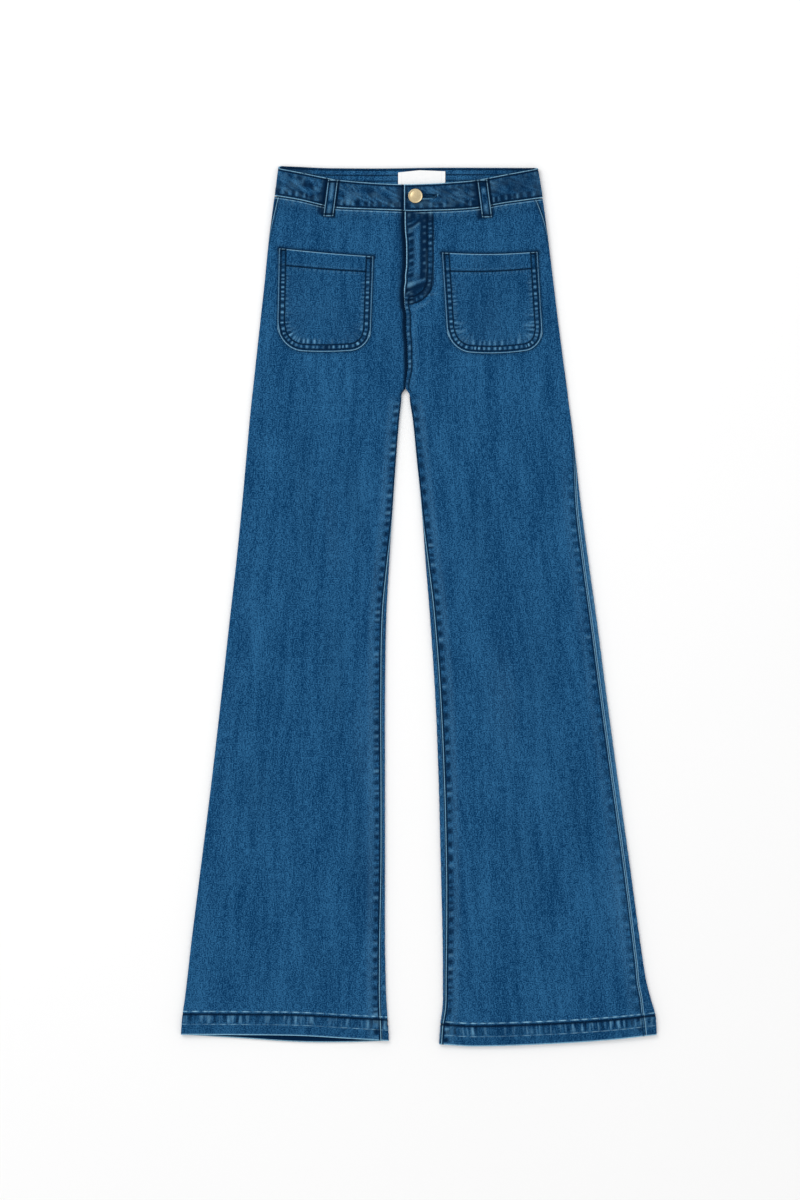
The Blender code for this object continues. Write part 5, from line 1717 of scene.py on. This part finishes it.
def denimFinish(name, contrast):
    finish, tree, shader = newFinish(name)
    speckle = noise(tree, "grain", denimLook["uneven"])
    uneven = arithmetic(tree, "MULTIPLY_ADD", speckle, 1.5, 0.25)
    ribs = readAttribute(tree, "ribsStrength")
    ribNoise = arithmetic(tree, "SUBTRACT", noise(tree, "grain", denimLook["ribs"]), 0.5)
    ribPale = arithmetic(tree, "MULTIPLY", ribNoise, denimLook["ribContrast"], clamp=True)
    ribDeep = arithmetic(tree, "MULTIPLY", ribNoise, -denimLook["ribContrast"], clamp=True)
    # dark places first, unfaded dye and painted shade alike, then worn places and painted light, then the
    # seams' lines and painted shadow lines
    ribDeep = arithmetic(tree, "MULTIPLY", ribs, ribDeep)
    deep = arithmetic(tree, "MULTIPLY_ADD", ribDeep, 0.8, readAttribute(tree, "deep"))
    deep = arithmetic(tree, "MULTIPLY", deep, 0.95, clamp=True)
    colour = blendColours(tree, deep, clothTone(tree, contrast), denimLook["deep"])
    ribPale = arithmetic(tree, "MULTIPLY", ribs, ribPale)
    wearAndPaintedLight = arithmetic(tree, "MULTIPLY_ADD", ribPale, 0.55, readAttribute(tree, "wearAndPaintedLight"))
    wearAndPaintedLight = arithmetic(tree, "MULTIPLY", wearAndPaintedLight, uneven, clamp=True)
    colour = blendColours(tree, wearAndPaintedLight, colour, denimLook["pale"])
    twill = arithmetic(tree, "MULTIPLY", weave(tree, denimLook["twillScale"], 1.2, 1.0, 28.0), 0.5)
    height = arithmetic(tree, "MULTIPLY_ADD", speckle, 0.7, twill)
    setSockets(tree, shader, {
        "Base Color": drawnLines(tree, colour, uneven), "Normal": addBump(tree, height, 0.35, 0.00022),
        "Roughness": 0.86, "Specular IOR Level": 0.02,
        "Sheen Weight": 0.015, "Sheen Roughness": 0.5, "Sheen Tint": denimLook["sheenTint"],
    })
    return finish


def brassFinish():
    finish, tree, shader = newFinish("paleBrass")
    spots = noise(tree, None, (900.0, 900.0, 900.0), 2.0)
    part = arithmetic(tree, "MULTIPLY", spots, noise(tree, None, (160.0, 160.0, 160.0)))
    setSockets(tree, shader, {
        "Base Color": blendColours(tree, part, (0.51, 0.40, 0.22, 1.0), (0.78, 0.68, 0.476, 1.0)),
        "Normal": addBump(tree, spots, 0.2, 0.0001), "Metallic": 1.0,
        "Roughness": arithmetic(tree, "MULTIPLY_ADD", spots, 0.2, 0.28),
    })
    return finish


def wovenFinish(name, colour, shade, scale, roughness, sheen):
    # a fine plain or satin weave, ribbed one way, darker where "deep" says, which on the label is painted
    # shade at its folds
    finish, tree, shader = newFinish(name)
    wave = weave(tree, scale, 0.6, 2.0, 90.0)
    cloudy = noise(tree, "grain", (120.0, 300.0, 1.0), 2.0)
    part = arithmetic(tree, "MULTIPLY", arithmetic(tree, "ADD", wave, cloudy), 0.5)
    tone = blendColours(tree, readAttribute(tree, "deep"), blendColours(tree, part, shade, colour), shade)
    setSockets(tree, shader, {"Base Color": tone, "Normal": addBump(tree, wave, 0.3, 0.0001),
                              "Roughness": roughness, "Sheen Weight": sheen})
    return finish


def threadFinish():
    finish, tree, shader = newFinish("navyThread")
    strands = noise(tree, None, (2600.0, 2600.0, 2600.0))
    colour = blendColours(tree, strands, (0.0002, 0.006, 0.022, 1.0), (0.001, 0.018, 0.052, 1.0))
    setSockets(tree, shader, {"Base Color": colour, "Normal": addBump(tree, strands, 0.4, 0.0001),
                              "Roughness": 0.8, "Specular IOR Level": 0.04})
    return finish


def floorFinish():
    finish, tree, shader = newFinish("paleFloor")
    level = studio["floor"]
    tint = noise(tree, None, (3.0, 3.0, 3.0), 2.0)
    colour = blendColours(tree, tint, (level,) * 3 + (1.0,), (level * 0.99,) * 3 + (1.0,))
    setSockets(tree, shader, {"Base Color": colour, "Roughness": 0.9})
    return finish


def giveFinish(finish, pieces):
    for piece in pieces:
        piece.data.materials.clear()
        piece.data.materials.append(finish)


whiteSatin = ((0.94, 0.94, 0.93, 1.0), (0.78, 0.79, 0.80, 1.0), 900.0, 0.45, 0.1)
navyTape = ((0.020, 0.040, 0.085, 1.0), (0.008, 0.018, 0.045, 1.0), 500.0, 0.8, 0.2)
giveFinish(denimFinish("legDenim", 1.0), [frontRight, frontLeft, backRight, backLeft, shieldPiece] + patches)
giveFinish(denimFinish("bandDenim", 1.3), [waistband] + loops)
giveFinish(threadFinish(), stitchPieces)
giveFinish(brassFinish(), [buttonPiece, zipTeeth])
giveFinish(wovenFinish("whiteSatin", *whiteSatin), [labelPiece])
giveFinish(wovenFinish("navyTape", *navyTape), [zipPiece])

# floor, light and camera
studio = {"floor": 0.93, "sky": 0.92, "key": 28.0, "keyPlace": (-1.6, 1.7, 2.3), "keySize": 1.6,
          "camera": (-0.0235, 0.0076, 3.542), "lens": 85.0}

deselectAll()
bpy.ops.mesh.primitive_plane_add(size=14.0, location=(0.0, 0.0, 0.0))
floor = bpy.context.object
floor.name = "floor"
giveFinish(floorFinish(), [floor])

world = bpy.data.worlds.new("studio")
world.use_nodes = True
backdrop = world.node_tree.nodes["Background"]
backdrop.inputs["Color"].default_value = (1.0, 1.0, 1.0, 1.0)
backdrop.inputs["Strength"].default_value = studio["sky"]
scene.world = world

bpy.ops.object.light_add(type="AREA", location=studio["keyPlace"])
key = bpy.context.object
key.name = "key"
key.data.shape = "DISK"
key.data.size = studio["keySize"]
key.data.energy = studio["key"]
key.rotation_euler = Vector(studio["keyPlace"]).to_track_quat("Z", "Y").to_euler()

bpy.ops.object.camera_add(location=studio["camera"], rotation=(0.0, 0.0, 0.0))
camera = bpy.context.object
camera.data.lens = studio["lens"]
camera.data.sensor_width = 36.0
camera.data.dof.use_dof = False
scene.camera = camera
scene.view_settings.view_transform = "Standard"
